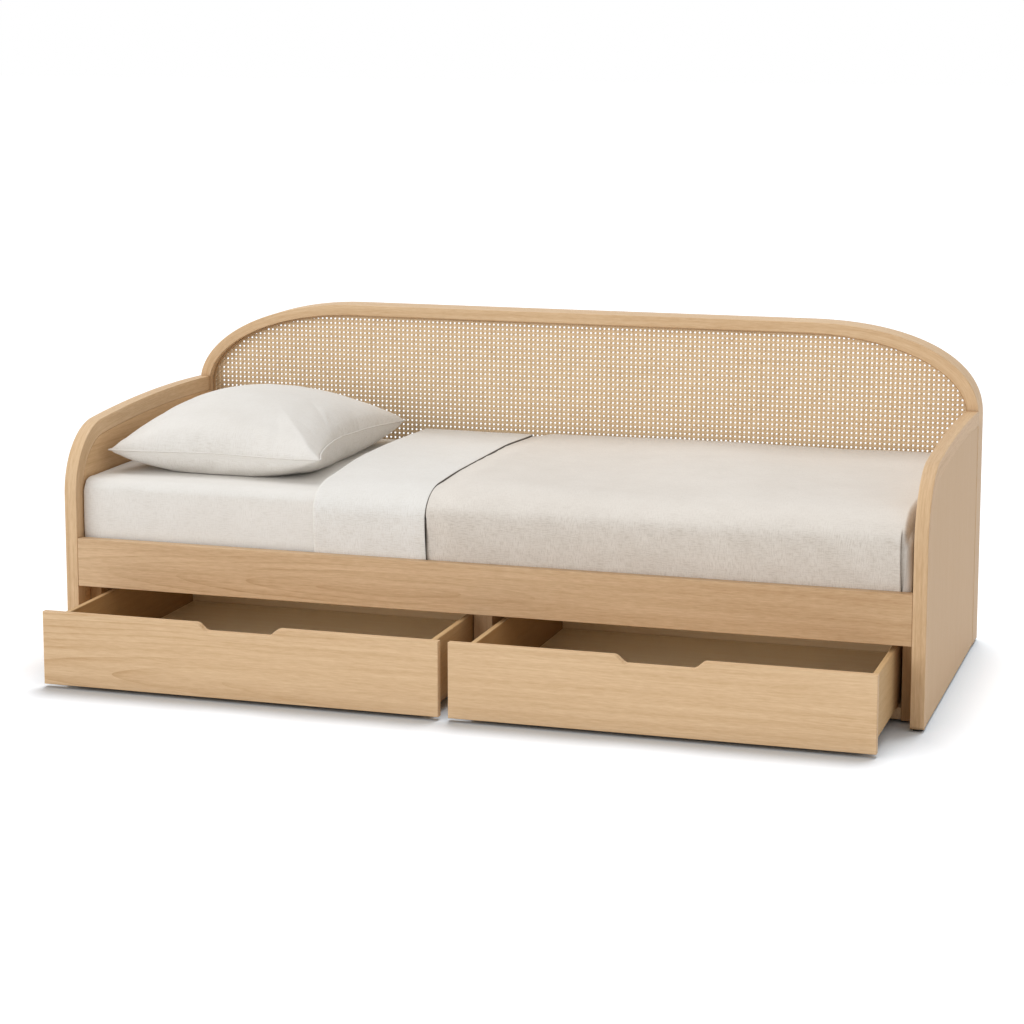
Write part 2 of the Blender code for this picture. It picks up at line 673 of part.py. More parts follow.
def cover_thickness(a, share, up, rise, size):
    """Thickness of a cover: thin where it is tucked in, fuller over the rail, with soft swells on top."""
    thickness, puff, bulge = size
    front = DROP_THICKNESS + bulge * math.sin(math.pi / 2 * rise)
    thick = front + (thickness - front) * up
    wave = math.sin(PUFF_WAVES_X * math.pi * a + PUFF_WAVES_Y * math.pi * share)
    swell = (wave + 1) / 2
    thick += puff * swell * up**2 * math.sin(math.pi * min(max(a, 0.0), 1.0)) ** MIDDLE_SHARE
    hem = min(1.0, (1.0 - share) * PATH_CELLS + BACK_HEM_SHARE)
    end = min(1.0, END_HEM_SHARE + min(a, 1.0 - a) * COVERLET_CELLS)
    return thick * hem * (end if up else 1.0)


def add_cover(name, left, right, cells, size, root, paint):
    def cover_point(a, b, c):
        y, z, out_y, out_z, rise = drape_path(b)
        thick = cover_thickness(a, b, max(out_z, 0.0), rise, size)
        x = left + (right - left) * a
        return (x, y + out_y * thick * c, z + out_z * thick * c)

    return grid_block(name, cells, PATH_CELLS, 1, cover_point, root, paint)


def pillow_point(a, b, c):
    """The pillow: a full crown, sides drawn in between the corner tips, and flat where it rests."""
    u = a * 2 - 1
    v = b * 2 - 1
    x = PILLOW_CENTRE_X + u * (PILLOW_WIDTH / 2 - PILLOW_SIDE_DRAW * (1 - v * v))
    y = PILLOW_CENTRE_Y + v * (PILLOW_LENGTH / 2 - PILLOW_SIDE_DRAW * (1 - u * u))
    full = max((1 - u * u) * (1 - v * v), 0.0) ** PILLOW_POWER
    if c > MIDDLE_SHARE:
        return (x, y, PILLOW_SEAM_HEIGHT + PILLOW_RIM / 2 + PILLOW_CROWN * full)
    low = PILLOW_SEAM_HEIGHT - PILLOW_RIM / 2 - PILLOW_UNDERSIDE_DEPTH * full
    return (x, y, max(low, bed_top(x, y) + CLOTH_GAP))


def add_bedding(root):
    add_mattress(root)
    sheet_size = (SHEET_THICKNESS, 0.0, SHEET_FRONT_BULGE)
    sheet_end = SHEET_RIGHT - CLOTH_GAP
    add_cover("top_sheet_fold", SHEET_LEFT, sheet_end, SHEET_CELLS, sheet_size, root, white_cotton)
    coverlet_size = (COVERLET_THICKNESS, COVERLET_PUFF, COVERLET_FRONT_BULGE)
    add_cover("coverlet", SHEET_RIGHT, COVERLET_RIGHT, COVERLET_CELLS, coverlet_size, root, linen)
    grid_block("pillow", PILLOW_CELLS_X, PILLOW_CELLS_Y, 1, pillow_point, root, white_cotton)


clear_scene()
PARTS = new_collection("storage_daybed")
CUTTERS = new_collection("cutters", cutters=True)
ROOT = add_empty("daybed", (0.0, -FRAME_CENTRE_Y, 0.0), None, PARTS)
add_side_frame("left", -1, ROOT)
add_side_frame("right", 1, ROOT)
add_back(ROOT)
add_base(ROOT)
add_drawer_carriers(ROOT)
add_glides(ROOT)
for index, (low_end, high_end) in enumerate(drawer_spans(), start=1):
    add_drawer(index, low_end, high_end, ROOT)
add_bedding(ROOT)
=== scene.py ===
import math

import bmesh
import bpy
import numpy as np
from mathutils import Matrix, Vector, noise


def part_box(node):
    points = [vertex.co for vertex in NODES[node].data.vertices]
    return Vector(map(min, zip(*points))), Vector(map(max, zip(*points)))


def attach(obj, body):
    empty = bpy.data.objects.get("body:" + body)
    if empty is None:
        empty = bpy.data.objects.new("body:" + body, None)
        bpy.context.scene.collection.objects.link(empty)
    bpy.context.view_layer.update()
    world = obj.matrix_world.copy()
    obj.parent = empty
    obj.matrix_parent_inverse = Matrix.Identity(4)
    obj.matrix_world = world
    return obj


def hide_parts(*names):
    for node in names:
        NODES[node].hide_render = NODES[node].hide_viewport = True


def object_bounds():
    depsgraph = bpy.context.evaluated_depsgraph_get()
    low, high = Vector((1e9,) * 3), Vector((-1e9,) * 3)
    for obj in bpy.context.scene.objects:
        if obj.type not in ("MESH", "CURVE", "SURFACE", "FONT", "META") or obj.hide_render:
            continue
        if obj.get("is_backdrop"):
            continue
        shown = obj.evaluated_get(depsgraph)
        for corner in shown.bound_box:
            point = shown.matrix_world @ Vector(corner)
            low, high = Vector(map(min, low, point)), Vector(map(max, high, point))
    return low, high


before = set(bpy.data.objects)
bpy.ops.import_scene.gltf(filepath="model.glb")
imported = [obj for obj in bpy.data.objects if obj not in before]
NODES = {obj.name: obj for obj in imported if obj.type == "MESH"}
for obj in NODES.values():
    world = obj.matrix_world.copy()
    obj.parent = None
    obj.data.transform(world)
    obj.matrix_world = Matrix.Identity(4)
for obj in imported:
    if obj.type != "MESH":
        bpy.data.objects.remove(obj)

CAD_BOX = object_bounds()
MM = 0.001
TINY = 1e-9

# Arms: the bent band's outer edge in y and z, as the part has it
ARM_LOW, ARM_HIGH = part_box("side_band_right")
BAND_WIDTH = 0.036
SHOULDER_RADIUS = 0.160
SHOULDER_TILT = math.radians(5.1)
ARM_PEAK_FROM_FRONT = 0.561
SHOULDER_STEPS = 28
ARM_END_Z = ARM_HIGH.z - BAND_WIDTH - 2 * MM
ARM_STEPS = 30
BAND_ROUND = 1.6 * MM

# Back arch
ARCH_LOW, ARCH_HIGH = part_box("back_arch")
ARCH_THICKNESS = 0.026
ARCH_CORNER_REACH = 0.420
ARCH_CORNER_RISE = 0.215
ARCH_CORNER_STEPS = 44
ARCH_ROUND = 2.2 * MM
POST_STEPS = 60
ARCH_TOP_STEPS = 12
ARCH_CENTRE_X = ARCH_HIGH.x - ARCH_CORNER_REACH
ARCH_CENTRE_Z = ARCH_HIGH.z - ARCH_CORNER_RISE
SPLINE_WIDTH = 6.0 * MM
SPLINE_GAP = 0.3 * MM
SPLINE_ROUND = 1.3 * MM
SPLINE_STEPS = 20

# Cane: pairs of uprights and crosses, and single diagonals both ways
CANE_LOW, CANE_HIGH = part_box("cane_webbing")
CANE_PITCH = 11.4 * MM
CANE_WIDTH = 3.6 * MM
CANE_DIAGONAL_WIDTH = 3.55 * MM
# Places of a pair's two strands beside their line
CANE_PAIR = (-1.7 * MM, 1.7 * MM)
CANE_CROWN = 0.45 * MM
CANE_WAVE = 0.35 * MM
CANE_DIAGONAL_WAVE = 0.75 * MM
CANE_EDGE_ROOM = 2.5 * MM
CANE_MIDDLE = (CANE_LOW.y + CANE_HIGH.y) / 2
STRAND_SEED = 0.37

# Bedding
MATTRESS_LOW, MATTRESS_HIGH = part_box("mattress")
SHEET_LOW, SHEET_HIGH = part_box("top_sheet_fold")
COVERLET_LOW, COVERLET_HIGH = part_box("coverlet")
PILLOW_LOW, PILLOW_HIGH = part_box("pillow")
RAIL_BACK, RAIL_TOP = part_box("front_rail")[1].yz
CLOTH_GAP = 0.6 * MM
THINNEST = 1.5 * MM
HEM_Z = COVERLET_LOW.z
DEEP_Z = HEM_Z - 0.2
INNER_FRONT = MATTRESS_LOW.y - CLOTH_GAP
INNER_TOP = MATTRESS_HIGH.z + CLOTH_GAP
TUCKED_Y = RAIL_BACK + CLOTH_GAP
MATTRESS_CELL = 12 * MM
MATTRESS_BEND = 0.030
MATTRESS_CORNER = 0.006
COVER_CELL = 8.5 * MM
SHEET_CELL = 8 * MM
UNDER_BEND = 0.034
LINE_BOW = 0.019
# Distances of the close stops from a cover's edge
FINE = tuple(distance * MM for distance in (0.4, 1.2, 2.6, 4.6, 7.2, 10.4, 14.0, 18.0))

PILLOW_CELLS = (80, 96)
PILLOW_FRAMES = 16
PILLOW_SEAM_Z = MATTRESS_HIGH.z + 0.052
PILLOW_UNDER = 0.092
PILLOW_DRAW = 0.020
PILLOW_WORKED_SHARE = 0.40
PILLOW_TIP_BACK = 0.022
PILLOW_TIP_OUT = 0.012
PILLOW_RIGHT_LIFT = 0.017
WELT_RADIUS = 1.9 * MM
WELT_SIDES = 8
# Creases on the upper panel, by start and end as shares of the panel, depth and width in millimetres
PILLOW_CREASES = (
    ((0.97, -0.42), (0.58, -0.10), 2.6, 9.0),
    ((0.96, -0.66), (0.66, -0.56), 1.6, 8.0),
    ((0.90, -0.84), (0.62, -0.62), -1.5, 7.0),
    ((0.62, -0.95), (0.50, -0.62), 1.3, 12.0),
    ((0.95, 0.28), (0.60, 0.12), 1.4, 12.0),
    ((-0.93, -0.84), (-0.52, -0.66), 1.5, 11.0),
    ((-0.80, -0.94), (-0.50, -0.50), 1.0, 12.0),
    ((-0.92, 0.80), (-0.50, 0.55), 1.5, 12.0),
    ((0.93, 0.86), (0.52, 0.60), 1.6, 12.0),
)

# Paints: light and dark, as screen values from 0 to 255
PAINTS = {
    "oak": ((228, 197, 158), (194, 156, 113)),
    "rail": ((220, 188, 150), (181, 143, 102)),
    # Painted shade: the right arm's band, darker than the left band's oak
    "band": ((221, 189, 150), (188, 150, 108)),
    "veneer": ((211, 180, 143), (196, 161, 122)),
    "ply": ((255, 237, 206), (244, 218, 180)),
    "side": ((214, 180, 134), (189, 151, 104)),
    # Painted shade: darker paint for the drawer sides' faces that look into the drawer
    "inside": ((184, 147, 101), (160, 123, 80)),
    # Painted shade: the runner boards under the rail, darker than the veneer
    "dim": ((198, 160, 114), (166, 124, 80)),
    # Painted shade: the left side panel, darker and warmer than the right one's veneer, for the shade on its
    # inner face
    "arm": ((226, 190, 146), (192, 150, 104)),
    "cane_light": ((238, 213, 175), (196, 163, 122)),
    # Painted shade and painted light: the rising diagonals are painted darker and the falling ones lighter
    # than the cane, for the shade and light where they cross
    "cane_rising": ((221, 193, 154), (181, 149, 109)),
    "cane_falling": ((245, 223, 187), (207, 176, 136)),
    "cane_edge": ((204, 170, 128), (170, 134, 94)),
    "sheet_linen_white": ((239, 237, 233), (214, 209, 201)),
    "mattress_cotton": ((240, 237, 232), (217, 212, 204)),
    "pillow_linen_white": ((240, 237, 232), (213, 207, 198)),
    "coverlet_linen_beige": ((237, 231, 223), (201, 192, 181)),
    "glide_black": ((26, 26, 28), (34, 34, 36)),
}
WOOD_SHINE = 0.22
# Painted shade: the colour cloth turns to in the lines beside the sheet and at the slit, and on the under
# layers of the covers and the pillow
PAINTED_SHADE_DARK = (0.105, 0.086, 0.068, 1.0)

# Boards by the start of their names, in full or without the drawer's number: which directions run along,
# across and into the grain, the kind of wood, and the seed of its figure. The last row takes all the rest.
BOARDS = (
    ("drawer_1_front", "XZY", "oak", 3.0),
    ("drawer_2_front", "XZY", "oak", 7.0),
    ("front_rail", "XZY", "oak", 11.0),
    ("drawer_side_left", "YZX", "side", 2.0),
    ("drawer_side_right", "YZX", "side", 3.0),
    ("drawer_back", "XZY", "ply", 4.0),
    ("drawer_bottom", "XYZ", "ply", 5.0),
    ("slat_ledge", "XZY", "ply", 6.5),
    ("slat_", "YXZ", "ply", 6.0),
    ("drawer_runner", "YXZ", "oak", 8.0),
    ("drawer_guide", "YXZ", "oak", 8.0),
    ("side_panel_right", "ZYX", "veneer", 9.0),
    # The left side panel takes the arm paint as painted shade
    ("side_panel_left", "YZX", "arm", 13.0),
    # The runner boards take a darker paint as painted shade
    ("runner_board", "ZYX", "dim", 15.0),
    ("centre_partition", "ZYX", "oak", 25.0),
    ("", "XZY", "oak", 1.0),
)
# How strong the streaks are, where it isn't CALM
STREAKS = {"oak": 1.0, "veneer": 0.35}
CALM = 0.8
FRONT_CALM = 0.84
# Painted shade along the rail: how much darker it gets towards its right end
RAIL_PAINTED_SHADE_SLOPE = 0.18
# How the boards are cut: heart of the tree from the board's centre, slope, strength of its figure, distance
# of the rings, and between which places along the board the figure fades
PLAIN_CUT = ((0.0, 0.04, 0.10), 0.004, 0.5, 11 * MM, None)
CUTS = {
    "drawer_1_front": ((0.10, -0.048, 0.0), 0.049, 1.15, 13 * MM, (-0.45, -0.05)),
    "drawer_2_front": ((1.30, 0.036, 0.0), 0.050, 0.65, 13 * MM, (0.85, 0.55)),
    "front_rail": ((-0.36, -0.010, 0.0), 0.070, 1.0, 12 * MM, (-0.30, 0.25)),
}
EASED_EDGE = 1.6 * MM

# Light: the world's level, and the lamps' directions, levels and spreads in degrees. The first three leave
# the floor to the last, which lights nothing else.
WORLD_LEVEL = 0.45
SUNS = (
    ("top", (-0.14, 0.12, 0.60), 0.40, 45),
    ("front_left", (-0.55, -0.78, 0.20), 0.472, 50),
    ("right", (0.90, -0.30, 0.30), 0.09, 60),
    ("floor_key", (0.015, 0.24, 0.62), 0.62, 30),
)
# The floor's colour as the camera sees it: in the open, and near the object, where an ambient occlusion mix
# paints a contact shadow; and as it lights the object
FLOOR_SEEN = (1.15, 1.17, 1.20, 1.0)
FLOOR_PAINTED_SHADOW = (0.84, 0.93, 1.02, 1.0)
FLOOR_BOUNCE = (0.84, 0.84, 0.84, 1.0)
FLOOR_PAINTED_SHADOW_REACH = 0.16
FLOOR_HALF = 40.0

CAMERA_PLACE = (1.7613, -5.6692, 1.5328)
CAMERA_DOWN = math.radians(8.979)
CAMERA_TURN = math.radians(17.371)
CAMERA_LENS = 92.035
CAMERA_SHIFT = -0.1


def linear(red, green, blue):
    """A colour given as screen values from 0 to 255, in the linear values that shaders take."""
    out = []
    for value in (red, green, blue):
        share = value / 255
        out.append(share / 12.92 if share <= 0.04045 else ((share + 0.055) / 1.055) ** 2.4)
    return (*out, 1.0)


class Tree:
    """Short calls for the nodes of one tree."""

    def __init__(self, tree):
        self.tree = tree

    def node(self, kind, inputs=None, **settings):
        made = self.tree.nodes.new(kind)
        for key, value in settings.items():
            setattr(made, key, value)
        for key, value in (inputs or {}).items():
            self.feed(made.inputs[key], value)
        return made

    def feed(self, socket, value):
        if isinstance(value, bpy.types.NodeSocket):
            self.tree.links.new(value, socket)
        else:
            socket.default_value = value

    def maths(self, operation, first, second=0.0, third=0.0, clamp=False):
        inputs = {0: first, 1: second, 2: third}
        return self.node("ShaderNodeMath", inputs, operation=operation, use_clamp=clamp).outputs[0]

    def scaled(self, value, factor, more=0.0, clamp=False):
        """The value times the factor, and more."""
        return self.maths("MULTIPLY_ADD", value, factor, more, clamp)

    def swayed(self, value, factor, more, clamp=False):
        """As scaled, with the value counted from 0.5."""
        return self.scaled(self.maths("SUBTRACT", value, 0.5), factor, more, clamp)

    def parts(self, vector):
        return self.node("ShaderNodeSeparateXYZ", {0: vector}).outputs

    def noise(self, vector, scale, shift=(0.0, 0.0, 0.0), detail=2.0, rough=0.5):
        """Noise from 0 to 1 whose three scales are per metre."""
        place = self.node("ShaderNodeVectorMath", {0: vector, 1: scale, 2: shift}, operation="MULTIPLY_ADD")
        inputs = {"Vector": place.outputs[0], "Scale": 1.0, "Detail": detail, "Roughness": rough}
        return self.node("ShaderNodeTexNoise", inputs).outputs["Fac"]

    def spread(self, value, low, high, to_low=0.0, to_high=1.0):
        inputs = {"Value": value, "From Min": low, "From Max": high, "To Min": to_low, "To Max": to_high}
        return self.node("ShaderNodeMapRange", inputs).outputs["Result"]

    def blend(self, share, first, second):
        return self.node("ShaderNodeMix", {0: share, 6: first, 7: second}, data_type="RGBA").outputs[2]

    def attribute(self, name, output="Fac"):
        return self.node("ShaderNodeAttribute", attribute_name=name).outputs[output]

    def seen(self):
        """1 for rays from the camera, straight or by a mirror or glass, and 0 for the rest."""
        rays = self.node("ShaderNodeLightPath").outputs
        mirror = self.maths("MAXIMUM", rays["Is Glossy Ray"], rays["Is Transmission Ray"])
        return self.maths("MAXIMUM", rays["Is Camera Ray"], mirror)


class Surface(Tree):
    """A material in the making."""

    def __init__(self, name):
        self.material = bpy.data.materials.new(name)
        self.material.use_nodes = True
        super().__init__(self.material.node_tree)
        self.shader = self.tree.nodes["Principled BSDF"]

    def place(self, order):
        """Coordinates along, across and into the grain, from object space."""
        parts = self.parts(self.node("ShaderNodeTexCoord").outputs["Object"])
        inputs = {index: parts["XYZ".index(letter)] for index, letter in enumerate(order)}
        return self.node("ShaderNodeCombineXYZ", inputs).outputs[0]

    def finish(self, colour, roughness, height=None, distance=0.0, strength=0.5, **plain):
        """The colour, roughness and relief go to the shader, with plain values for its other sockets."""
        self.feed(self.shader.inputs["Base Color"], colour)
        self.feed(self.shader.inputs["Roughness"], roughness)
        if height is not None:
            inputs = {"Height": height, "Distance": distance, "Strength": strength}
            normal = self.node("ShaderNodeBump", inputs).outputs["Normal"]
            self.feed(self.shader.inputs["Normal"], normal)
        for key, value in plain.items():
            self.shader.inputs[key.replace("_", " ")].default_value = value
        return self.material


def tones(paint):
    """A paint's light and dark colour."""
    return [linear(*colour) for colour in PAINTS[paint]]


def wood(name, paint, seed, order=None, centre=(0.0, 0.0), heart=(0.0, 0.0, 0.06), slope=0.004, figure=1.0,
         streaks=1.0, gloss=0.5, ring=11 * MM, fading=None, painted_shade_slope=0.0, cover=None, inside=0.0):
    """Oak: rings cut into long arches, slow streaks, fine dashes and short dark pores. It lies in the given
    order of directions, or by the mesh's grain places. The heart is where the tree's middle lies: along the
    board, across it from its centre, and behind its face. The slant darkens the board steadily along its
    grain, as painted shade. The cover's paint takes over on the faces that look inside, which on a drawer
    side is painted shade, or else where the plain attribute is 1."""
    s = Surface(name)
    place = s.place(order) if order else s.attribute("grain", "Vector")
    shift = (seed * 3.7, seed * 1.9, seed * 2.3)
    parts = s.parts(place)
    wander = s.noise(place, (1.2, 7.0, 7.0), shift)
    shake = s.noise(place, (7.0, 45.0, 45.0), shift)
    wide = s.scaled(wander, 0.040, -0.020 - heart[1] - centre[0])
    wide = s.scaled(shake, 0.005, s.maths("ADD", wide, parts[1]))
    deep = s.scaled(parts[0], slope, heart[2] - centre[1] - heart[0] * slope)
    deep = s.maths("ADD", deep, parts[2])
    radius = s.maths("ADD", s.maths("MULTIPLY", wide, wide), s.maths("MULTIPLY", deep, deep))
    radius = s.maths("SQRT", radius)
    late = s.maths("POWER", s.maths("FRACT", s.maths("DIVIDE", radius, ring)), 4.5)
    fade = s.noise(place, (2.0, 16.0, 16.0), (seed, seed * 5.0, 1.0), 1.0)
    late = s.maths("MULTIPLY", late, s.spread(fade, 0.35, 0.65, 0.15, 1.0))
    if fading:
        late = s.maths("MULTIPLY", late, s.spread(parts[0], *fading, 1.0, 0.10))
    streak = s.noise(place, (1.6, 75.0, 75.0), shift, 3.0, 0.6)
    dash = s.noise(place, (34.0, 330.0, 330.0), shift, 2.0, 0.6)
    fibre = s.noise(place, (16.0, 900.0, 900.0), shift, 3.0, 0.65)
    pore = s.spread(s.noise(place, (60.0, 1400.0, 1400.0), shift, 1.0), 0.62, 0.72)
    share = s.swayed(streak, 1.1 * streaks, 0.36)
    share = s.scaled(late, 0.60 * figure, share)
    share = s.swayed(dash, 0.9 * streaks, share)
    share = s.swayed(fibre, 0.45 * streaks, share)
    # Painted shade: darker steadily along the grain by the slant
    share = s.scaled(parts[0], painted_shade_slope, share)
    share = s.scaled(pore, 0.22 * streaks, share, clamp=True)
    light, dark = tones(paint)
    if cover:
        # On a drawer side the inside paint is painted shade on the faces that look into the drawer
        if inside:
            turned = s.parts(s.node("ShaderNodeNewGeometry").outputs["True Normal"])["X"]
            skin = s.spread(s.maths("MULTIPLY", turned, inside), 0.5, 0.7)
        else:
            skin = s.attribute("plain")
        light, dark = (s.blend(skin, own, other) for own, other in zip((light, dark), tones(cover)))
    height = s.scaled(late, 0.25, s.scaled(pore, -0.8, fibre))
    roughness = s.spread(fibre, 0.3, 0.7, gloss - 0.05, gloss + 0.08)
    colour = s.blend(share, light, dark)
    return s.finish(colour, roughness, height, 0.10 * MM, Specular_IOR_Level=WOOD_SHINE)


def cane_surface(name, seed):
    """Split cane: a smooth glossy skin with darker fibres and now and then a darker joint."""
    s = Surface(name)
    place = s.attribute("grain", "Vector")
    fibre = s.noise(place, (30.0, 2600.0, 900.0), (seed, 0.0, 0.0), 2.0, 0.6)
    strand = s.noise(place, (2.5, 37.0, 37.0), (0.0, seed, 0.0), 2.0, 0.6)
    joint = s.spread(s.noise(place, (26.0, 0.5, 170.0), (seed, 2.0, 0.0), 0.0), 0.70, 0.78)
    share = s.swayed(fibre, 0.8, s.swayed(strand, 1.6, 0.4))
    share = s.scaled(joint, 0.5, share, clamp=True)
    return s.finish(s.blend(share, *tones(name)), s.spread(fibre, 0.3, 0.7, 0.36, 0.52), fibre, 0.08 * MM)


def linen(name, seed, slub=1.0, side=0.0, cloudy=0.30):
    """Woven linen: fine threads, sparse short yarns both ways in loose patches, slow clouds and a soft nap.
    The side value darkens the faces that don't look up, as painted shade, and where the painted shade
    attribute is 1 the cloth takes the painted shade colour."""
    s = Surface(name)
    place = s.attribute("cloth", "Vector")
    along = s.noise(place, (62.0, 400.0, 10.0), (seed, 0.0, 0.0), 2.0, 0.6)
    across = s.noise(place, (400.0, 62.0, 10.0), (0.0, seed, 0.0), 2.0, 0.6)
    patch = s.noise(place, (17.0, 17.0, 17.0), (seed, 3.0, seed), 2.0, 0.6)
    thread = s.noise(place, (680.0, 680.0, 10.0), (seed, seed, 0.0), 2.0, 0.6)
    cloud = s.noise(place, (7.0, 7.0, 7.0), (seed, seed, 0.0), 3.0, 0.6)
    long_yarn = s.maths("MULTIPLY", s.spread(along, 0.46, 0.74), s.spread(patch, 0.40, 0.62, 0.35, 1.0))
    cross_yarn = s.maths("MULTIPLY", s.spread(across, 0.46, 0.74), s.spread(patch, 0.38, 0.60, 1.0, 0.35))
    yarn = s.maths("ADD", long_yarn, cross_yarn)
    weave = s.swayed(thread, 0.85, s.swayed(patch, 0.45, s.scaled(yarn, 0.52, -0.14)))
    facing = s.parts(s.node("ShaderNodeNewGeometry").outputs["Normal"])["Z"]
    weave = s.maths("MULTIPLY", weave, s.spread(facing, 0.2, 0.9, 1.0, 0.35))
    # Painted shade: faces that don't look up are painted darker by the side value
    share = s.scaled(weave, slub, s.spread(facing, 0.1, 0.8, 0.40 + side, 0.40))
    share = s.swayed(cloud, cloudy, share, clamp=True)
    # Painted shade: the cloth turns towards the shade colour by its painted shade attribute
    tone = s.blend(s.attribute("painted_shade"), s.blend(share, *tones(name)), PAINTED_SHADE_DARK)
    height = s.scaled(thread, 0.5, yarn)
    return s.finish(tone, 0.92, height, 0.13 * MM * (0.4 + 0.6 * slub), 0.45, Sheen_Weight=0.12,
                    Sheen_Roughness=0.5)


def moulded(name):
    """Moulded plastic with a fine grain."""
    s = Surface(name)
    place = s.node("ShaderNodeTexCoord").outputs["Object"]
    grain = s.noise(place, (900.0, 900.0, 900.0), detail=3.0)
    return s.finish(s.blend(s.spread(grain, 0.3, 0.7), *tones(name)), 0.6, grain, 0.05 * MM)


MATERIALS = {
    made.name: made
    for made in (
        wood("oak_band_left", "oak", 21.0, heart=(0.0, 0.02, 0.11), figure=0.5),
        # The right band takes the darker band paint as painted shade
        wood("oak_band_right", "band", 23.0, heart=(0.0, 0.02, 0.11), figure=0.5),
        wood("oak_arch", "oak", 27.0, heart=(0.0, 0.01, 0.09), figure=0.5, cover="veneer"),
        cane_surface("cane_light", 3.0),
        cane_surface("cane_rising", 7.0),
        cane_surface("cane_falling", 9.0),
        cane_surface("cane_edge", 5.0),
        # The numbers after the seed: slub, painted shade on faces that don't look up, and clouds
        linen("sheet_linen_white", 2.0, 1.25),
        linen("mattress_cotton", 6.0, 0.9),
        linen("pillow_linen_white", 9.0, 0.9, 0.15, 0.5),
        linen("coverlet_linen_beige", 4.0, 1.1, 0.26),
        moulded("glide_black"),
    )
}


def placed(name, data):
    obj = bpy.data.objects.new(name, data)
    bpy.context.scene.collection.objects.link(obj)
    return obj


def add_mesh(name, points, faces, material, attribute, values, smooth=True):
    """A piece that rides on the frame, with its places in the grain or the cloth as an attribute."""
    mesh = bpy.data.meshes.new(name)
    mesh.from_pydata([tuple(p) for p in points], [], faces)
    mesh.polygons.foreach_set("use_smooth", [smooth] * len(mesh.polygons))
    layer = mesh.attributes.new(attribute, "FLOAT_VECTOR", "POINT")
    layer.data.foreach_set("vector", np.asarray(values, np.float32).ravel())
    mesh.update()
    mesh.materials.append(MATERIALS[material])
    obj = placed(name, mesh)
    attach(obj, "frame")
    return obj


def point_values(obj, name, values):
    layer = obj.data.attributes.new(name, "FLOAT", "POINT")
    layer.data.foreach_set("value", values)


def outward(obj):
    """Turns all faces outwards."""
    shape = bmesh.new()
    shape.from_mesh(obj.data)
    bmesh.ops.recalc_face_normals(shape, faces=shape.faces)
    shape.to_mesh(obj.data)
    shape.free()


def tube_faces(start, rings, around, closed=False):
    """Faces round a tube whose rings of points follow one another from start, with caps on open ends."""
    faces = []
    for i in range(rings if closed else rings - 1):
        a, b = start + i * around, start + (i + 1) % rings * around
        for k in range(around):
            m = (k + 1) % around
            faces.append((a + k, a + m, b + m, b + k))
    if not closed:
        end = start + (rings - 1) * around
        faces.append(tuple(range(start, start + around))[::-1])
        faces.append(tuple(range(end, end + around)))
    return faces


def bar_section(width, depth, radius, steps=4):
    """Places round a bar's section: across its width from the outer edge, and into its depth."""
    section = []
    far_across, far_deep = width - radius, depth - radius
    corners = ((radius, radius), (far_across, radius), (far_across, far_deep), (radius, far_deep))
    for number, (across, deep) in enumerate(corners):
        for step in range(steps):
            angle = math.pi / 2 * (number + step / (steps - 1)) + math.pi
            section.append((across + radius * math.cos(angle), deep + radius * math.sin(angle)))
    return section


def bar(stations, depth, radius, place):
    """Points, faces and grain places of a bar with a rounded section between outer and inner points."""
    points, grain = [], []
    run = 0.0
    last = None
    for outer, inner in stations:
        outer, inner = np.array(outer), np.array(inner)
        width = float(np.linalg.norm(inner - outer))
        middle = (outer + inner) / 2
        if last is not None:
            run += float(np.linalg.norm(middle - last))
        last = middle
        section = bar_section(width, depth, radius)
        for across, deep in section:
            p = outer + (inner - outer) * across / width
            points.append(place(p[0], p[1], deep - depth / 2))
            grain.append((run, across, deep))
    return points, tube_faces(0, len(stations), len(section)), grain


def add_bar(name, made, material, node):
    """A piece made of bars. Its flat faces keep flat shading and their rounded edges carry the turn."""
    points, faces, grain = made
    obj = add_mesh(name, points, faces, material, "grain", grain)
    outward(obj)
    modifier = obj.modifiers.new("even_normals", "WEIGHTED_NORMAL")
    modifier.weight = 90
    modifier.keep_sharp = True
    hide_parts(node)
    return obj


def arm_stations():
    front = ARM_LOW.y
    peak_z = ARM_HIGH.z
    join_y = SHOULDER_RADIUS * (1 - math.sin(SHOULDER_TILT))
    bend = math.tan(SHOULDER_TILT) / (ARM_PEAK_FROM_FRONT - join_y) / 2
    join_z = peak_z - bend * (ARM_PEAK_FROM_FRONT - join_y) ** 2
    centre_z = join_z - SHOULDER_RADIUS * math.cos(SHOULDER_TILT)
    path = [((0.0, ARM_LOW.z), (-1.0, 0.0))]
    for step in range(1, POST_STEPS):
        path.append(((0.0, ARM_LOW.z + (centre_z - ARM_LOW.z) * step / POST_STEPS), (-1.0, 0.0)))
    turn = math.pi / 2 - SHOULDER_TILT
    for step in range(SHOULDER_STEPS + 1):
        angle = turn * step / SHOULDER_STEPS
        out = (-math.cos(angle), math.sin(angle))
        path.append(((SHOULDER_RADIUS * (1 + out[0]), centre_z + SHOULDER_RADIUS * out[1]), out))
    end = ARM_HIGH.y - front
    for step in range(1, ARM_STEPS + 1):
        y = join_y + (end - join_y) * step / ARM_STEPS
        slope = math.atan(bend * (ARM_PEAK_FROM_FRONT - y) * 2)
        z = peak_z - bend * (ARM_PEAK_FROM_FRONT - y) ** 2
        path.append(((y, z), (-math.sin(slope), math.cos(slope))))
    stations = []
    for (y, z), (out_y, out_z) in path:
        inner = (min(y - BAND_WIDTH * out_y, end) + front, z - BAND_WIDTH * out_z)
        stations.append(((y + front, z), inner))
    return stations


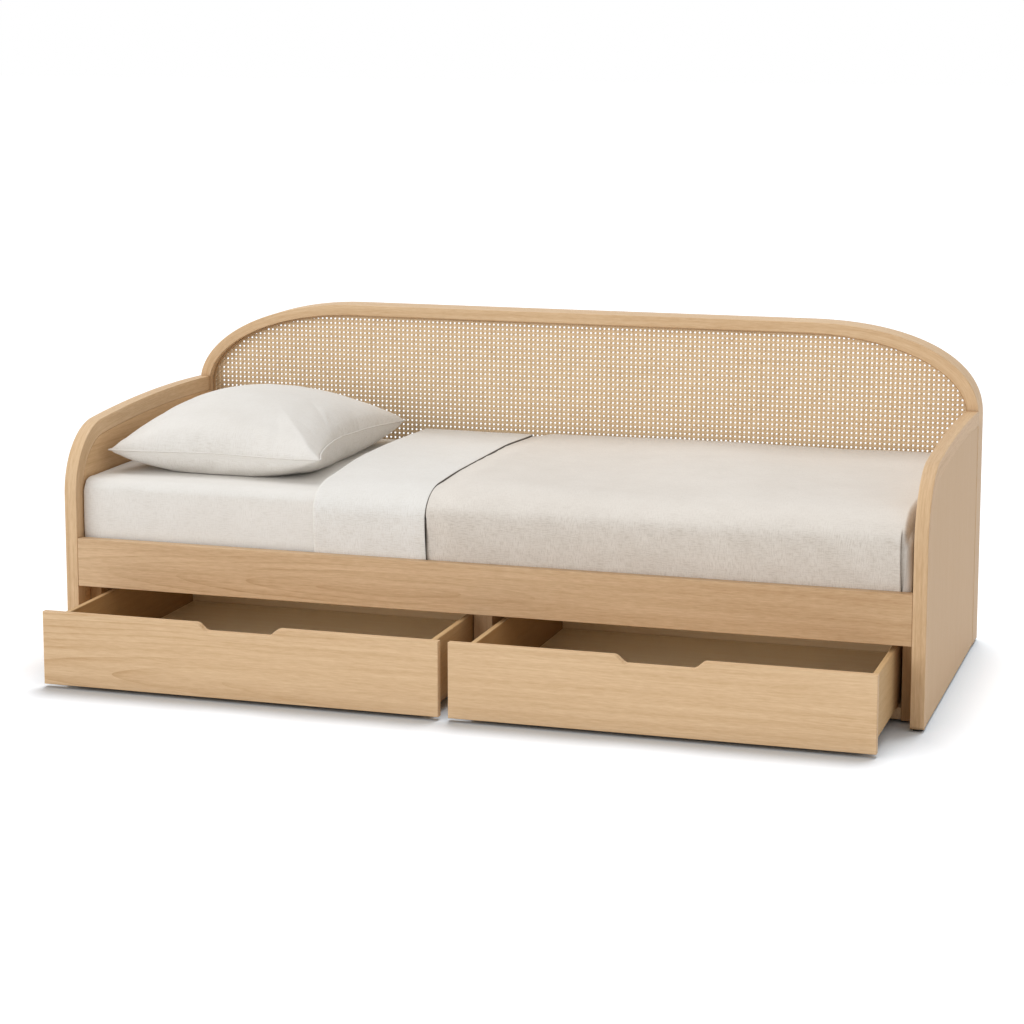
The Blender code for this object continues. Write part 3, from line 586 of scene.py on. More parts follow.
def add_arms():
    for side in ("left", "right"):
        low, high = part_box("side_band_" + side)
        centre = (low.x + high.x) / 2
        made = bar(arm_stations(), high.x - low.x, BAND_ROUND, lambda y, z, d: (centre + d, y, z))
        add_bar("arm_band_" + side, made, "oak_band_" + side, "side_band_" + side)


def corner_power(side, inward):
    """The corner's curve is an ellipse, with power 2, at the left and a little fuller at the right."""
    return 2.0 if side < 0 else 2.24 - 0.16 * min(inward / ARCH_THICKNESS, 1.0)


def corner_place(side, angle, inward):
    share = 2 / corner_power(side, inward)
    x = ARCH_CENTRE_X + (ARCH_CORNER_REACH - inward) * max(math.cos(angle), 0.0) ** share
    return (side * x, ARCH_CENTRE_Z + (ARCH_CORNER_RISE - inward) * math.sin(angle) ** share)


def half_arch(side, inward, thick, bottom):
    """Paired points from one foot up to the end of the corner."""
    pairs = []
    for step in range(POST_STEPS):
        z = bottom + (ARCH_CENTRE_Z - bottom) * step / POST_STEPS
        pairs.append(((side * (ARCH_HIGH.x - inward), z), (side * (ARCH_HIGH.x - inward - thick), z)))
    for step in range(ARCH_CORNER_STEPS + 1):
        angle = math.pi / 2 * step / ARCH_CORNER_STEPS
        pairs.append((corner_place(side, angle, inward), corner_place(side, angle, inward + thick)))
    return pairs


def arch_stations(inward, thick, bottom):
    """Paired points round the arch, from the left foot over the top to the right foot."""
    left = half_arch(-1, inward, thick, bottom)
    (_, high), (_, low) = left[-1]
    top = []
    for step in range(1, ARCH_TOP_STEPS):
        x = ARCH_CENTRE_X * (2 * step / ARCH_TOP_STEPS - 1)
        top.append(((x, high), (x, low)))
    return left + top + half_arch(1, inward, thick, bottom)[::-1]


def clamped(value):
    return min(max(value, 0.0), 1.0)


def smooth_step(value, low, high):
    share = clamped((value - low) / (high - low))
    return share * share * (3 - 2 * share)


def plain_share(x, y, z):
    """1 on the outer face of a rear post below the arm's band, where it ends the side panel, else 0."""
    outside = clamped((abs(x) - ARCH_HIGH.x + 2 * MM) / (1.5 * MM))
    return outside * clamped((ARM_END_Z - z) / (6 * MM))


def add_arch():
    depth = ARCH_HIGH.y - ARCH_LOW.y
    centre = (ARCH_HIGH.y + ARCH_LOW.y) / 2
    stations = arch_stations(0.0, ARCH_THICKNESS, ARCH_LOW.z)
    made = bar(stations, depth, ARCH_ROUND, lambda x, z, d: (x, centre + d, z))
    obj = add_bar("arch_frame", made, "oak_arch", "back_arch")
    point_values(obj, "plain", [plain_share(*point) for point in made[0]])


def add_spline():
    """The strip over the cane's edge, round the arch and along the bottom."""
    low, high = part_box("cane_spline")
    centre = (low.y + high.y) / 2
    arch = arch_stations(ARCH_THICKNESS + SPLINE_GAP, SPLINE_WIDTH, low.z)
    left, right = low.x + SPLINE_WIDTH, high.x - SPLINE_WIDTH
    rail = []
    for step in range(SPLINE_STEPS + 1):
        x = left + (right - left) * step / SPLINE_STEPS
        rail.append(((x, low.z), (x, low.z + SPLINE_WIDTH)))
    points, faces, grain = [], [], []
    for stations in (arch, rail):
        more = bar(stations, high.y - low.y, SPLINE_ROUND, lambda x, z, d: (x, centre + d, z))
        faces += [tuple(len(points) + k for k in face) for face in more[1]]
        points += more[0]
        grain += more[2]
    add_bar("cane_edge_strip", (points, faces, grain), "cane_edge", "cane_spline")


def opening_top(x, inward):
    """Height of the arch's inner edge over a place, moved inwards."""
    power = corner_power(x, inward)
    across = max(abs(x) - ARCH_CENTRE_X, 0.0) / (ARCH_CORNER_REACH - inward)
    return ARCH_CENTRE_Z + (ARCH_CORNER_RISE - inward) * max(1 - across ** power, 0.0) ** (1 / power)


def in_opening(x, z, inward):
    return abs(x) < ARCH_HIGH.x - inward and CANE_LOW.z < z < opening_top(x, inward)


def opening_side(side, z, inward):
    """Distance of the arch's inner edge from the middle at a height, moved inwards."""
    power = corner_power(side, inward)
    up = max(z - ARCH_CENTRE_Z, 0.0) / (ARCH_CORNER_RISE - inward)
    return ARCH_CENTRE_X + (ARCH_CORNER_REACH - inward) * max(1 - up ** power, 0.0) ** (1 / power)


def woven(start, end, origin, steps, flip):
    """A strand's places from start to end, each with the wave by which it crosses the other way's pairs."""
    line = [(start, 0.0)]
    for step in steps:
        for other, shift in enumerate(CANE_PAIR):
            place = origin + step * CANE_PITCH + shift
            if start + CANE_WIDTH < place < end - CANE_WIDTH:
                line.append((place, CANE_WAVE * (-1) ** (flip + other)))
    return line + [(end, 0.0)]


def ribbon(store, line, side, width, seed):
    """One strand: a flat back and a crowned front."""
    points, faces, grain = store
    section = ((-0.5, 0.0), (-0.28, -1.0), (0.28, -1.0), (0.5, 0.0))
    faces += tube_faces(len(points), len(line), len(section))
    run = 0.0
    for index, p in enumerate(line):
        if index:
            run += math.dist(p, line[index - 1])
        for across, up in section:
            reach = across * width
            points.append((p[0] + side[0] * reach, p[1] + up * CANE_CROWN, p[2] + side[1] * reach))
            grain.append((run, reach, seed))


def cane_strands():
    """The strands, each with its set's name, line, direction across it and width."""
    inward = ARCH_THICKNESS + CANE_EDGE_ROOM
    bottom = CANE_LOW.z + 0.5 * MM
    columns = int((ARCH_HIGH.x - inward) / CANE_PITCH)
    rows = int((ARCH_HIGH.z - bottom) / CANE_PITCH) + 1
    for column in range(-columns, columns + 1):
        for index, offset in enumerate(CANE_PAIR):
            x = column * CANE_PITCH + offset
            places = woven(bottom, opening_top(x, inward), bottom, range(rows), index)
            yield "uprights", [(x, CANE_MIDDLE + wave, z) for z, wave in places], (1.0, 0.0), CANE_WIDTH
    for row in range(rows):
        for index, offset in enumerate(CANE_PAIR):
            z = bottom + row * CANE_PITCH + offset
            if bottom < z < ARCH_HIGH.z - inward:
                left, right = (side * opening_side(side, z, inward) for side in (-1, 1))
                places = woven(left, right, 0.0, range(-columns, columns + 1), index + 1)
                yield "crosses", [(x, CANE_MIDDLE + wave, z) for x, wave in places], (0.0, 1.0), CANE_WIDTH
    reach = columns + rows + 2
    # The rising diagonals get painted shade and the falling ones painted light
    for name, lean in (("rising", 1), ("falling", -1)):
        for start in range(-reach, reach):
            line = []
            for half_step in range(-2, 2 * rows + 3):
                x = (start + 0.5) * CANE_PITCH + lean * half_step * CANE_PITCH / 2
                z = bottom + half_step * CANE_PITCH / 2
                if in_opening(x, z, inward + CANE_WIDTH / 2):
                    wave = (-1) ** half_step * CANE_DIAGONAL_WAVE - CANE_CROWN * 0.2
                    line.append((x, CANE_MIDDLE + lean * wave, z))
            if len(line) > 1:
                yield name, line, (math.sqrt(0.5), -lean * math.sqrt(0.5)), CANE_DIAGONAL_WIDTH


def add_cane():
    stores = {}
    for number, (name, line, side, width) in enumerate(cane_strands()):
        ribbon(stores.setdefault(name, ([], [], [])), line, side, width, number * STRAND_SEED)
    for name, (points, faces, grain) in stores.items():
        material = "cane_" + name if name in ("rising", "falling") else "cane_light"
        obj = add_mesh("cane_" + name, points, faces, material, "grain", grain, smooth=False)
        outward(obj)
        if name == "uprights":
            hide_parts("cane_webbing")


def stops(low, high, cell, low_radius=0.0, high_radius=0.0, low_fine=(), high_fine=()):
    """Places along one side of a block: close together on its rounded or fine ends and even between them."""
    degrees = (45, 38, 31, 24, 16, 8, 0)
    start = [low + low_radius * (1 - math.tan(math.radians(a))) for a in degrees] if low_radius else []
    end = [high - high_radius * (1 - math.tan(math.radians(a))) for a in degrees] if high_radius else []
    start = start or [low + d for d in (0.0, *low_fine)]
    end = end or [high - d for d in (0.0, *high_fine)]
    count = max(int(round((end[-1] - start[-1]) / cell)), 1)
    middle = [start[-1] + (end[-1] - start[-1]) * i / count for i in range(1, count)]
    return start + middle + end[::-1]


def skin(lists, sides, make):
    """A block's surface grid on the given sides, each an axis with 0 or 1 for its end: what make gives for
    each of its sharp points, and the faces, turned outwards."""
    index, made, faces = {}, [], []
    for axis, end in sides:
        first, second = (axis + 1) % 3, (axis + 2) % 3
        for i in range(len(lists[first]) - 1):
            for j in range(len(lists[second]) - 1):
                ring = []
                for a, b in ((0, 0), (1, 0), (1, 1), (0, 1)):
                    key = [(len(lists[axis]) - 1) * end] * 3
                    key[first], key[second] = i + a, j + b
                    key = tuple(key)
                    if key not in index:
                        index[key] = len(made)
                        made.append(make([lists[n][key[n]] for n in range(3)]))
                    ring.append(index[key])
                faces.append(ring if end else ring[::-1])
    return made, faces


def rounded(point, low, high, low_radii, high_radii):
    """The point of a block's sharp surface moved on to its rounded one, with the outward direction."""
    p = np.array(point)
    core = np.clip(p, np.array(low) + low_radii, np.array(high) - high_radii)
    away = p - core
    size = np.maximum(np.where(away < 0, low_radii, high_radii), TINY)
    out = away / size
    out /= max(np.linalg.norm(out), TINY)
    return core + out * size, out


def unrolled(point, low, high):
    """Cloth places: the block's sides folded out level with its top."""
    drop = high[2] - point[2]
    places = []
    for n in (0, 1):
        outside = (point[n] >= high[n] - TINY) - (point[n] <= low[n] + TINY)
        places.append(point[n] + drop * outside)
    return (*places, 0.0)


def bumps(x, y, z, scale, seed):
    return noise.noise(Vector((x * scale + seed, y * scale - seed, z * scale + seed * 0.7)))


def creases(x, y, z, along, across, seed):
    """Long soft ridges: noise stretched along one direction, folded so that its crests are narrow."""
    value = noise.noise(Vector((x * along + seed, y * across - seed, z * across)))
    return max(0.0, 1 - abs(value) * 4) ** 2


def rolls(p, *layers):
    """Soft unevenness in layers, each by its depth in millimetres, scale and seed."""
    return sum(deep * MM * bumps(*p, scale, seed) for deep, scale, seed in layers)


def add_mattress():
    low, high = MATTRESS_LOW.copy(), MATTRESS_HIGH
    low.x -= 2.2 * MM
    bend, corner = MATTRESS_BEND, MATTRESS_CORNER
    sizes = (corner, bend, bend)
    lists = [stops(low[i], high[i], MATTRESS_CELL, sizes[i], sizes[i]) for i in range(3)]
    top_corner = Vector((low.x, low.y, high.z))

    def covered(sharp):
        """A point drawn in where the mattress lies open, with short folds near its top corner."""
        upper = smooth_step(sharp[2], high.z - bend, high.z - bend * 0.4)
        radii = (corner, corner + (bend - corner) * upper, bend)
        p, out = rounded(sharp, low, high, radii, radii)
        open_part = clamped((SHEET_LOW.x + 0.03 - p[0]) / 0.08)
        rest = 0.5 * MM + 1.3 * MM * (0.5 - bumps(*p, 5.0, 3.0))
        near = math.exp(-(Vector(p) - top_corner).length / 0.11)
        fold = creases(p[0] - p[1], p[0] + p[1], p[2], 3.0, 26.0, 5.0) * near * 2.2 * MM
        return p - out * (open_part * (rest - fold)), unrolled(sharp, low, high)

    made, faces = skin(lists, [(axis, end) for axis in range(3) for end in (0, 1)], covered)
    points, cloth = zip(*made)
    obj = add_mesh("fitted_mattress", points, faces, "mattress_cotton", "cloth", cloth)
    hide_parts("mattress")


def knots(block, axis):
    """Where a block's rounding starts and ends along one axis."""
    low, high, low_radii, high_radii = block
    near, far = max(low_radii[axis], TINY), max(high_radii[axis], TINY)
    return (low[axis], low[axis] + near, high[axis] - far, high[axis])


def add_shell(name, material, outer, inner, lists, sides, radii, height, share, painted_shade, bow):
    """A cover over the mattress's top and some of its sides: an outer block's skin over an inner one's,
    closed along its edges."""
    ties = [(knots(outer, axis), knots(inner, axis)) for axis in range(3)]

    def pair(sharp):
        p, out = rounded(sharp, outer[0], outer[1], *radii(sharp))
        q, _ = rounded([float(np.interp(sharp[n], *ties[n])) for n in range(3)], *inner)
        p = q + (p + out * height(p, out) - q) * share(sharp)
        p += out * max(THINNEST - float(np.dot(p - q, out)), 0.0)
        aside = (bow(sharp), 0.0, 0.0)
        return p + aside, q + aside, sharp

    made, faces = skin(lists, sides, pair)
    tops, unders, sharps = zip(*made)
    count = len(made)
    edges = {(a, b) for ring in faces for a, b in zip(ring, ring[1:] + ring[:1])}
    closing = [(b, a, a + count, b + count) for a, b in sorted(edges) if (b, a) not in edges]
    every = faces + [[k + count for k in ring[::-1]] for ring in faces] + closing
    cloth = [unrolled(sharp, outer[0], outer[1]) for sharp in sharps]
    obj = add_mesh(name, tops + unders, every, material, "cloth", cloth * 2)
    # Painted shade for each point of both layers
    point_values(obj, "painted_shade", [painted_shade(sharp, under) for under in (False, True) for sharp in sharps])
    return obj


def rolled(distance, width):
    """Share of the full height near a rolled edge: a quarter round."""
    if distance >= width:
        return 1.0
    away = 1 - max(distance, 0.0) / width
    return math.sqrt(max(1 - away * away, 0.0))


def front_fall(z, front, full_z):
    """How far a cover's front lies behind its fullest place: tucked behind the rail and swelling over it."""
    rise = clamped((z - RAIL_TOP - CLOTH_GAP) / (full_z - RAIL_TOP))
    return 0.0 if z >= full_z else (TUCKED_Y - front) * (1 - math.sin(math.pi / 2 * rise))


def cover_place(p, out, low, high, full_z):
    """How far a cover's point faces up and forwards, its shares along and across, and its front's fall."""
    up = max(out[2], 0.0)
    forward = max(-out[1], 0.0) * (1 - up)
    u, v = (clamped((p[n] - low[n]) / (high[n] - low[n])) for n in (0, 1))
    return up, forward, u, v, -front_fall(p[2], low[1], full_z) * forward


def hanging(p, up, deep, scale, seed):
    """Upright waves in a cover's side over the rail."""
    over_rail = smooth_step(p[2], RAIL_TOP, RAIL_TOP + 0.02)
    return (1 - up) * deep * MM * bumps(p[0], 0.0, p[2] * 0.3, scale, seed) * over_rail


def add_coverlet():
    low, high = COVERLET_LOW, COVERLET_HIGH
    left, right, front, back = low.x, high.x, low.y, high.y
    top = INNER_TOP + 0.032
    bend_y, bend_z, end, corner = 0.096, 0.074, 0.018, 0.012
    slit_x, slit_z, slit_deep = right - 0.0215, 0.430, 6.5 * MM
    lap, lap_down, lap_back = 0.075, 9.5 * MM, 9.5 * MM
    outer = ((left, front, DEEP_Z), (right, back, top), (0.0, bend_y, 0.0), (end, 0.0, bend_z))
    inner_radii = (0.0, UNDER_BEND, 0.0), (UNDER_BEND, 0.0, UNDER_BEND)
    inner = ((left, INNER_FRONT, DEEP_Z), (right - 9 * MM, back, INNER_TOP), *inner_radii)
    along = stops(left, right, COVER_CELL, 0.0, end, FINE)
    along = {round(x, 6) for x in along if abs(x - slit_x) > 0.9 * MM}
    along |= {slit_x + shift * MM for shift in (-4, -0.8, 0, 0.8)}
    across = stops(front, back, COVER_CELL, bend_y, 0.0, (), FINE)
    lists = [sorted(along), across, stops(HEM_Z, top, COVER_CELL, 0.0, bend_z)]

    def radii(sharp):
        """The upright corner is tight below the bend and opens into the wide bend over it."""
        near = corner + (bend_y - corner) * smooth_step(sharp[2], top - bend_z, top - bend_z * 0.4)
        return (0.0, near, 0.0), (end, 0.0, bend_z)

    def height(p, out):
        x, y, z = p
        up, forward, u, v, fall = cover_place(p, out, low, high, top - bend_z)
        wave = (math.sin(2.9 * math.pi * u + 1.4 * math.pi * v + 0.15) + 1) / 2
        crown = 0.011 * wave * math.sin(math.pi * u) ** 0.5 * math.sin(math.pi * v) ** 0.5
        fold = 1.0 * MM * creases(x, y, z, 2.2, 9.0, 8.3)
        level = rolls(p, (1.9, 4.2, 1.7), (0.9, 9.0, 4.1)) + fold + crown
        below_slit = slit_z - z
        slit = -slit_deep * smooth_step(x, slit_x - 0.5 * MM, slit_x + 0.5 * MM) * forward
        slit *= smooth_step(below_slit, 0.0, 0.010)
        lip = 1.2 * MM * math.exp(-abs(x - slit_x + 3 * MM) / (4 * MM)) * smooth_step(below_slit, 0.0, 0.03)
        under_lap = 1 - smooth_step(x, left, left + lap)
        over_rail = smooth_step(z, RAIL_TOP, RAIL_TOP + 0.06)
        droop = 4.5 * MM * (1 - smooth_step(y, front + 0.05, front + 0.27))
        lapped = -under_lap * (up * lap_down + forward * over_rail * lap_back) - up * droop
        fine = rolls(p, (0.40, 23.0, 2.9)) + hanging(p, up, 0.7, 13.0, 6.0)
        return up * level + fine + fall + slit + lip * forward + lapped

    def share(sharp):
        return rolled(back - sharp[1], 20 * MM) * 0.9 + 0.1

    def painted_shade(sharp, under):
        """Painted shade: the shadow line beside the sheet, the slit at the corner, the strip of cloth beside
        the slit, and the whole under layer.
        """
        x, y, z = sharp
        if x < left + 1.4 * MM or under:
            return 1.0
        if z > slit_z - 4 * MM or y > front + MM or x < slit_x - 0.3 * MM:
            return 0.0
        return 1.0 if x < slit_x + 0.3 * MM else 0.22

    def bow(sharp):
        return LINE_BOW * smooth_step(sharp[1], 0.28, back) * (1 - smooth_step(sharp[0], left, left + 0.15))

    obj = add_shell("linen_coverlet", "coverlet_linen_beige", outer, inner, lists,
                    ((0, 1), (1, 0), (2, 1)), radii, height, share, painted_shade, bow)
    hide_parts("coverlet")


def add_sheet_fold():
    low, high = SHEET_LOW, SHEET_HIGH
    left, right, front, back = low.x, high.x, low.y, high.y
    top = INNER_TOP + high.z - MATTRESS_HIGH.z - 2 * MM
    bend_y, bend_z = 0.102, 0.068
    outer_radii = (0.0, bend_y, 0.0), (0.0, 0.0, bend_z)
    inner_radii = (0.0, UNDER_BEND, 0.0), (0.0, 0.0, UNDER_BEND)
    outer = ((left, front, DEEP_Z), (right, back, top), *outer_radii)
    inner = ((left, INNER_FRONT, DEEP_Z), (right, back, INNER_TOP), *inner_radii)
    lists = [
        stops(left, right, SHEET_CELL, 0.0, 0.0, FINE, FINE),
        stops(front, back, COVER_CELL, bend_y, 0.0, (), FINE),
        stops(HEM_Z, top, COVER_CELL, 0.0, bend_z),
    ]

    def height(p, out):
        x, y, z = p
        up, forward, u, v, fall = cover_place(p, out, low, high, top - bend_z)
        crest = 0.009 * math.exp(-(u / 0.42) ** 2) * smooth_step(v, 0.10, 0.42)
        crest *= 1 - 0.75 * smooth_step(v, 0.6, 1.0)
        droop = 6.0 * MM * (1 - smooth_step(y, front + 0.04, front + 0.25))
        fold = 0.9 * MM * creases(x, y, z, 3.0, 8.0, 18.0)
        soft = rolls(p, (1.2, 5.0, 11.0), (0.7, 12.0, 14.0)) + fold
        still = 1 - smooth_step(x, right - 0.06, right)
        over_rail = smooth_step(z, RAIL_TOP, RAIL_TOP + 0.06)
        proud = smooth_step(x, right - 0.07, right - 0.01) * forward * over_rail * 2.0 * MM
        return (up * soft + hanging(p, up, 0.6, 17.0, 9.0)) * still + up * (crest - droop) + fall + proud

    def share(sharp):
        x, y, z = sharp
        edge = 1 - (1 - rolled(x - left, 9 * MM)) * 0.42
        far_edge = 1 - (1 - rolled(right - x, 4.6 * MM)) * 0.06
        return edge * far_edge * (rolled(back - y, 14 * MM) * 0.9 + 0.1)

    # Painted shade along the sheet's right edge, where it meets the coverlet
    def painted_shade(sharp, under):
        return 1.0 if sharp[0] > right - 0.2 * MM else 0.0

    def bow(sharp):
        return LINE_BOW * smooth_step(sharp[1], 0.28, back) * smooth_step(sharp[0], right - 0.15, right)

    obj = add_shell("turned_sheet", "sheet_linen_white", outer, inner, lists,
                    ((1, 0), (2, 1)), lambda sharp: outer_radii, height, share, painted_shade, bow)
    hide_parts("top_sheet_fold")


def pillow_key(i, j, layer):
    """A panel's point, which both panels share on the seam."""
    return (i, j, 0 if i in (0, PILLOW_CELLS[0]) or j in (0, PILLOW_CELLS[1]) else layer)


def pillow_cut():
    """Two panels that share the seam: points, their shares from -1 to 1 with their layer, cloth places,
    faces, and each point by its key."""
    columns, rows = PILLOW_CELLS
    wide, long = PILLOW_HIGH.x - PILLOW_LOW.x, PILLOW_HIGH.y - PILLOW_LOW.y
    crown = PILLOW_HIGH.z - PILLOW_SEAM_Z
    points, shares, cloth, faces, keys = [], [], [], [], {}
    for layer in (0, 1):
        for i in range(columns + 1):
            for j in range(rows + 1):
                rim = i in (0, columns) or j in (0, rows)
                key = pillow_key(i, j, layer)
                if key in keys:
                    continue
                u, v = i / columns * 2 - 1, j / rows * 2 - 1
                x = u * (wide / 2 - PILLOW_DRAW * (1 - v * v))
                y = v * (long / 2 - PILLOW_DRAW * (1 - u * u))
                a, b = max(1 - u * u, 0.0), max(1 - v * v, 0.0)
                power = 0.55 - 0.07 * smooth_step(u, 0.0, 1.0)
                full = (a * b) ** power
                near = math.exp(-((1 - u) ** 2 + (1 + v) ** 2) / 0.42)
                full += (min(a, b) ** (power * 2) - full) * near * (0.85 if layer == 0 else 0.0)
                z = 0.0 if rim else (crown if layer == 0 else -PILLOW_UNDER) * full
                keys[key] = len(points)
                points.append((x, y, z + 1.0 * MM * bumps(x, y, layer, 9.0, 5.0)))
                shares.append((u, v, 0.5 if rim else float(layer)))
                cloth.append((x, y, layer * 3.0))
        for i in range(columns):
            for j in range(rows):
                ring = [keys[pillow_key(i + a, j + b, layer)] for a, b in ((0, 0), (1, 0), (1, 1), (0, 1))]
                faces.append(ring if layer == 0 else ring[::-1])
    return points, shares, cloth, faces, keys


def crease_depth(place, start, end, deep, wide):
    """Depth of one soft crease that runs between two places and fades at its ends."""
    line = end - start
    share = float(np.dot(place - start, line) / np.dot(line, line))
    if not -0.2 < share < 1.2:
        return 0.0
    away = float(np.linalg.norm(place - start - line * clamped(share)))
    ends = smooth_step(share, -0.2, 0.15) * (1 - smooth_step(share, 0.55, 1.2))
    return deep * ends * math.exp(-(away / wide) ** 2)


def worked_by_hand(p, share):
    """Sets the tips back and out, lifts the right seam, and gathers and creases the cloth near the seams."""
    u, v, layer = share
    half = np.array([(PILLOW_HIGH.x - PILLOW_LOW.x) / 2, (PILLOW_HIGH.y - PILLOW_LOW.y) / 2])
    from_end, from_side = 1 - abs(u), 1 - abs(v)
    rim = min(from_end, from_side)
    front = max(-v, 0.0)
    tip = (abs(u) * front) ** 5
    move = np.array([PILLOW_TIP_OUT * tip * max(u, 0.0), PILLOW_TIP_BACK * tip, 0.0])
    side = max(u, 0.0) ** 6 * max(1 - v * v, 0.0) ** 0.8 * (1 - 0.45 * smooth_step(v, -0.5, 0.9))
    move[2] += PILLOW_RIGHT_LIFT * side
    front_side = front ** 6 * max(1 - u * u, 0.0)
    move[2] += 2.5 * MM * front_side + 3 * MM * tip * max(u, 0.0)
    if layer == 1.0:
        swell = 4 * min(rim / 0.30, 1.0) * (1 - min(rim / 0.30, 1.0))
        if 1 - u < from_side:
            move[0] += 15 * MM * swell
        elif 1 + v < from_end:
            move[1] -= 11 * MM * swell
    gather = math.exp(-rim * 11.0) * (0.0 if layer == 0.5 else 1.0)
    run = v * half[1] if from_end < from_side else u * half[0]
    ripple = noise.noise(Vector((run * 62.0, layer * 7.0, 3.0)))
    ripple += 0.5 * noise.noise(Vector((run * 130.0, layer, 9.0)))
    move[2] += (2.1 + 1.4 * layer) * MM * gather * ripple
    move[2] += 1.3 * MM * noise.noise(Vector((p[0] * 21.0, p[1] * 21.0, layer * 5.0))) * min(rim * 8, 1.0)
    if layer == 0.0:
        place = np.array([u, v]) * half
        for start, end, deep, wide in PILLOW_CREASES:
            move[2] -= crease_depth(place, start * half, end * half, deep * MM, wide * MM)
    return p + move


def blown_up(points, faces):
    """The panels after a short cloth simulation with air inside."""
    mesh = bpy.data.meshes.new("pillow_cut")
    mesh.from_pydata(points, [], faces)
    mesh.update()
    trial = placed("pillow_cut", mesh)
    modifier = trial.modifiers.new("air", "CLOTH")
    settings = modifier.settings
    settings.quality = 6
    settings.mass = 0.25
    settings.tension_stiffness = 60
    settings.compression_stiffness = 60
    settings.shear_stiffness = 20
    settings.bending_stiffness = 5
    settings.use_pressure = True
    settings.uniform_pressure_force = 3.5
    settings.effector_weights.gravity = 0.0
    modifier.collision_settings.use_collision = False
    modifier.point_cache.frame_start = 1
    modifier.point_cache.frame_end = PILLOW_FRAMES
    for number in range(1, PILLOW_FRAMES + 1):
        bpy.context.scene.frame_set(number)
    graph = bpy.context.evaluated_depsgraph_get()
    shape = np.array([v.co for v in trial.evaluated_get(graph).data.vertices], float)
    bpy.context.scene.frame_set(1)
    bpy.data.objects.remove(trial, do_unlink=True)
    return shape


def under_share(share):
    """How much painted shade the pillow's under panel takes, growing from its seam inwards."""
    u, v, layer = share
    return 0.13 * min(min(1 - abs(u), 1 - abs(v)) * 9, 1.0) if layer == 1.0 else 0.0


def add_pillow():
    """A stuffed pillow, worked by a short simulation and set down on the mattress."""
    columns, rows = PILLOW_CELLS
    points, shares, cloth, faces, keys = pillow_cut()
    shape = np.array(points)
    shape += (blown_up(points, faces) - shape) * PILLOW_WORKED_SHARE
    low, high = shape.min(0), shape.max(0)
    want_low, want_high = np.array(PILLOW_LOW), np.array(PILLOW_HIGH)
    scale = (want_high - want_low)[:2] / (high - low)[:2]
    shape[:, :2] = (shape[:, :2] - (low + high)[:2] / 2) * scale + ((want_low + want_high) / 2)[:2]
    z = shape[:, 2]
    crown, under = (want_high[2] - PILLOW_SEAM_Z) / high[2], PILLOW_UNDER / -low[2]
    shape[:, 2] = np.where(z > 0, z * crown, z * under) + PILLOW_SEAM_Z
    shape = np.array([worked_by_hand(p, share) for p, share in zip(shape, shares)])
    shape[:, 2] = np.maximum(shape[:, 2], want_low[2])
    obj = add_mesh("stuffed_pillow", shape, faces, "pillow_linen_white", "cloth", cloth)
    point_values(obj, "painted_shade", [under_share(share) for share in shares])
    outward(obj)
    smooth = obj.modifiers.new("smooth", "SUBSURF")
    smooth.levels = smooth.render_levels = 1
    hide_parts("pillow")
    rim = [(i, 0) for i in range(columns)] + [(columns, j) for j in range(rows)]
    rim += [(i, rows) for i in range(columns, 0, -1)] + [(0, j) for j in range(rows, 0, -1)]
    add_welt(np.array([shape[keys[(i, j, 0)]] for i, j in rim]))


def add_welt(path):
    """The thin corded edge along the pillow's seam."""
    points, places = [], []
    centre = path.mean(0)
    run = 0.0
    for i, p in enumerate(path):
        ahead = path[(i + 1) % len(path)] - path[i - 1]
        ahead /= np.linalg.norm(ahead)
        side = np.cross(ahead, (0.0, 0.0, 1.0))
        side /= np.linalg.norm(side)
        if np.dot(side, p - centre) < 0:
            side = -side
        up = np.cross(side, ahead)
        run += float(np.linalg.norm(p - path[i - 1]))
        for k in range(WELT_SIDES):
            angle = 2 * math.pi * k / WELT_SIDES
            out = side * (math.cos(angle) + 0.4) + up * math.sin(angle)
            points.append(p + out * WELT_RADIUS)
            places.append((run, WELT_RADIUS * k, 1.0))
    faces = tube_faces(0, len(path), WELT_SIDES, closed=True)
    obj = add_mesh("pillow_welt", points, faces, "pillow_linen_white", "cloth", places)
    outward(obj)


def board_wood(label, name, obj, order, kind, seed):
    """The wood of a board and of those that share its kind, order and seed."""
    heart, slope, figure, ring, fading = CUTS.get(name, PLAIN_CUT)
    middle = (Vector(obj.bound_box[0]) + Vector(obj.bound_box[6])) / 2
    centre = tuple(middle["XYZ".index(letter)] for letter in order[1:])
    calm = STREAKS.get(kind, CALM) * (FRONT_CALM if name.endswith("_front") else 1.0)
    rail, side = name == "front_rail", kind == "side"
    return wood(
        label, "rail" if rail else kind, seed, order, centre, heart, slope, figure * calm, calm,
        # The rail gets its slope of painted shade
        0.48 if kind == "oak" else 0.55, ring, fading, RAIL_PAINTED_SHADE_SLOPE if rail else 0.0,
        # A drawer side takes the inside paint as painted shade on its inner faces
        "inside" if side else None, (1.0 if name.endswith("left") else -1.0) if side else 0.0,
    )


def ease_edges(obj):
    eased = obj.modifiers.new("eased_edges", "BEVEL")
    eased.width = EASED_EDGE
    eased.segments = 3
    eased.limit_method = "ANGLE"
    eased.angle_limit = math.radians(30)
    eased.use_clamp_overlap = True
    eased.harden_normals = True


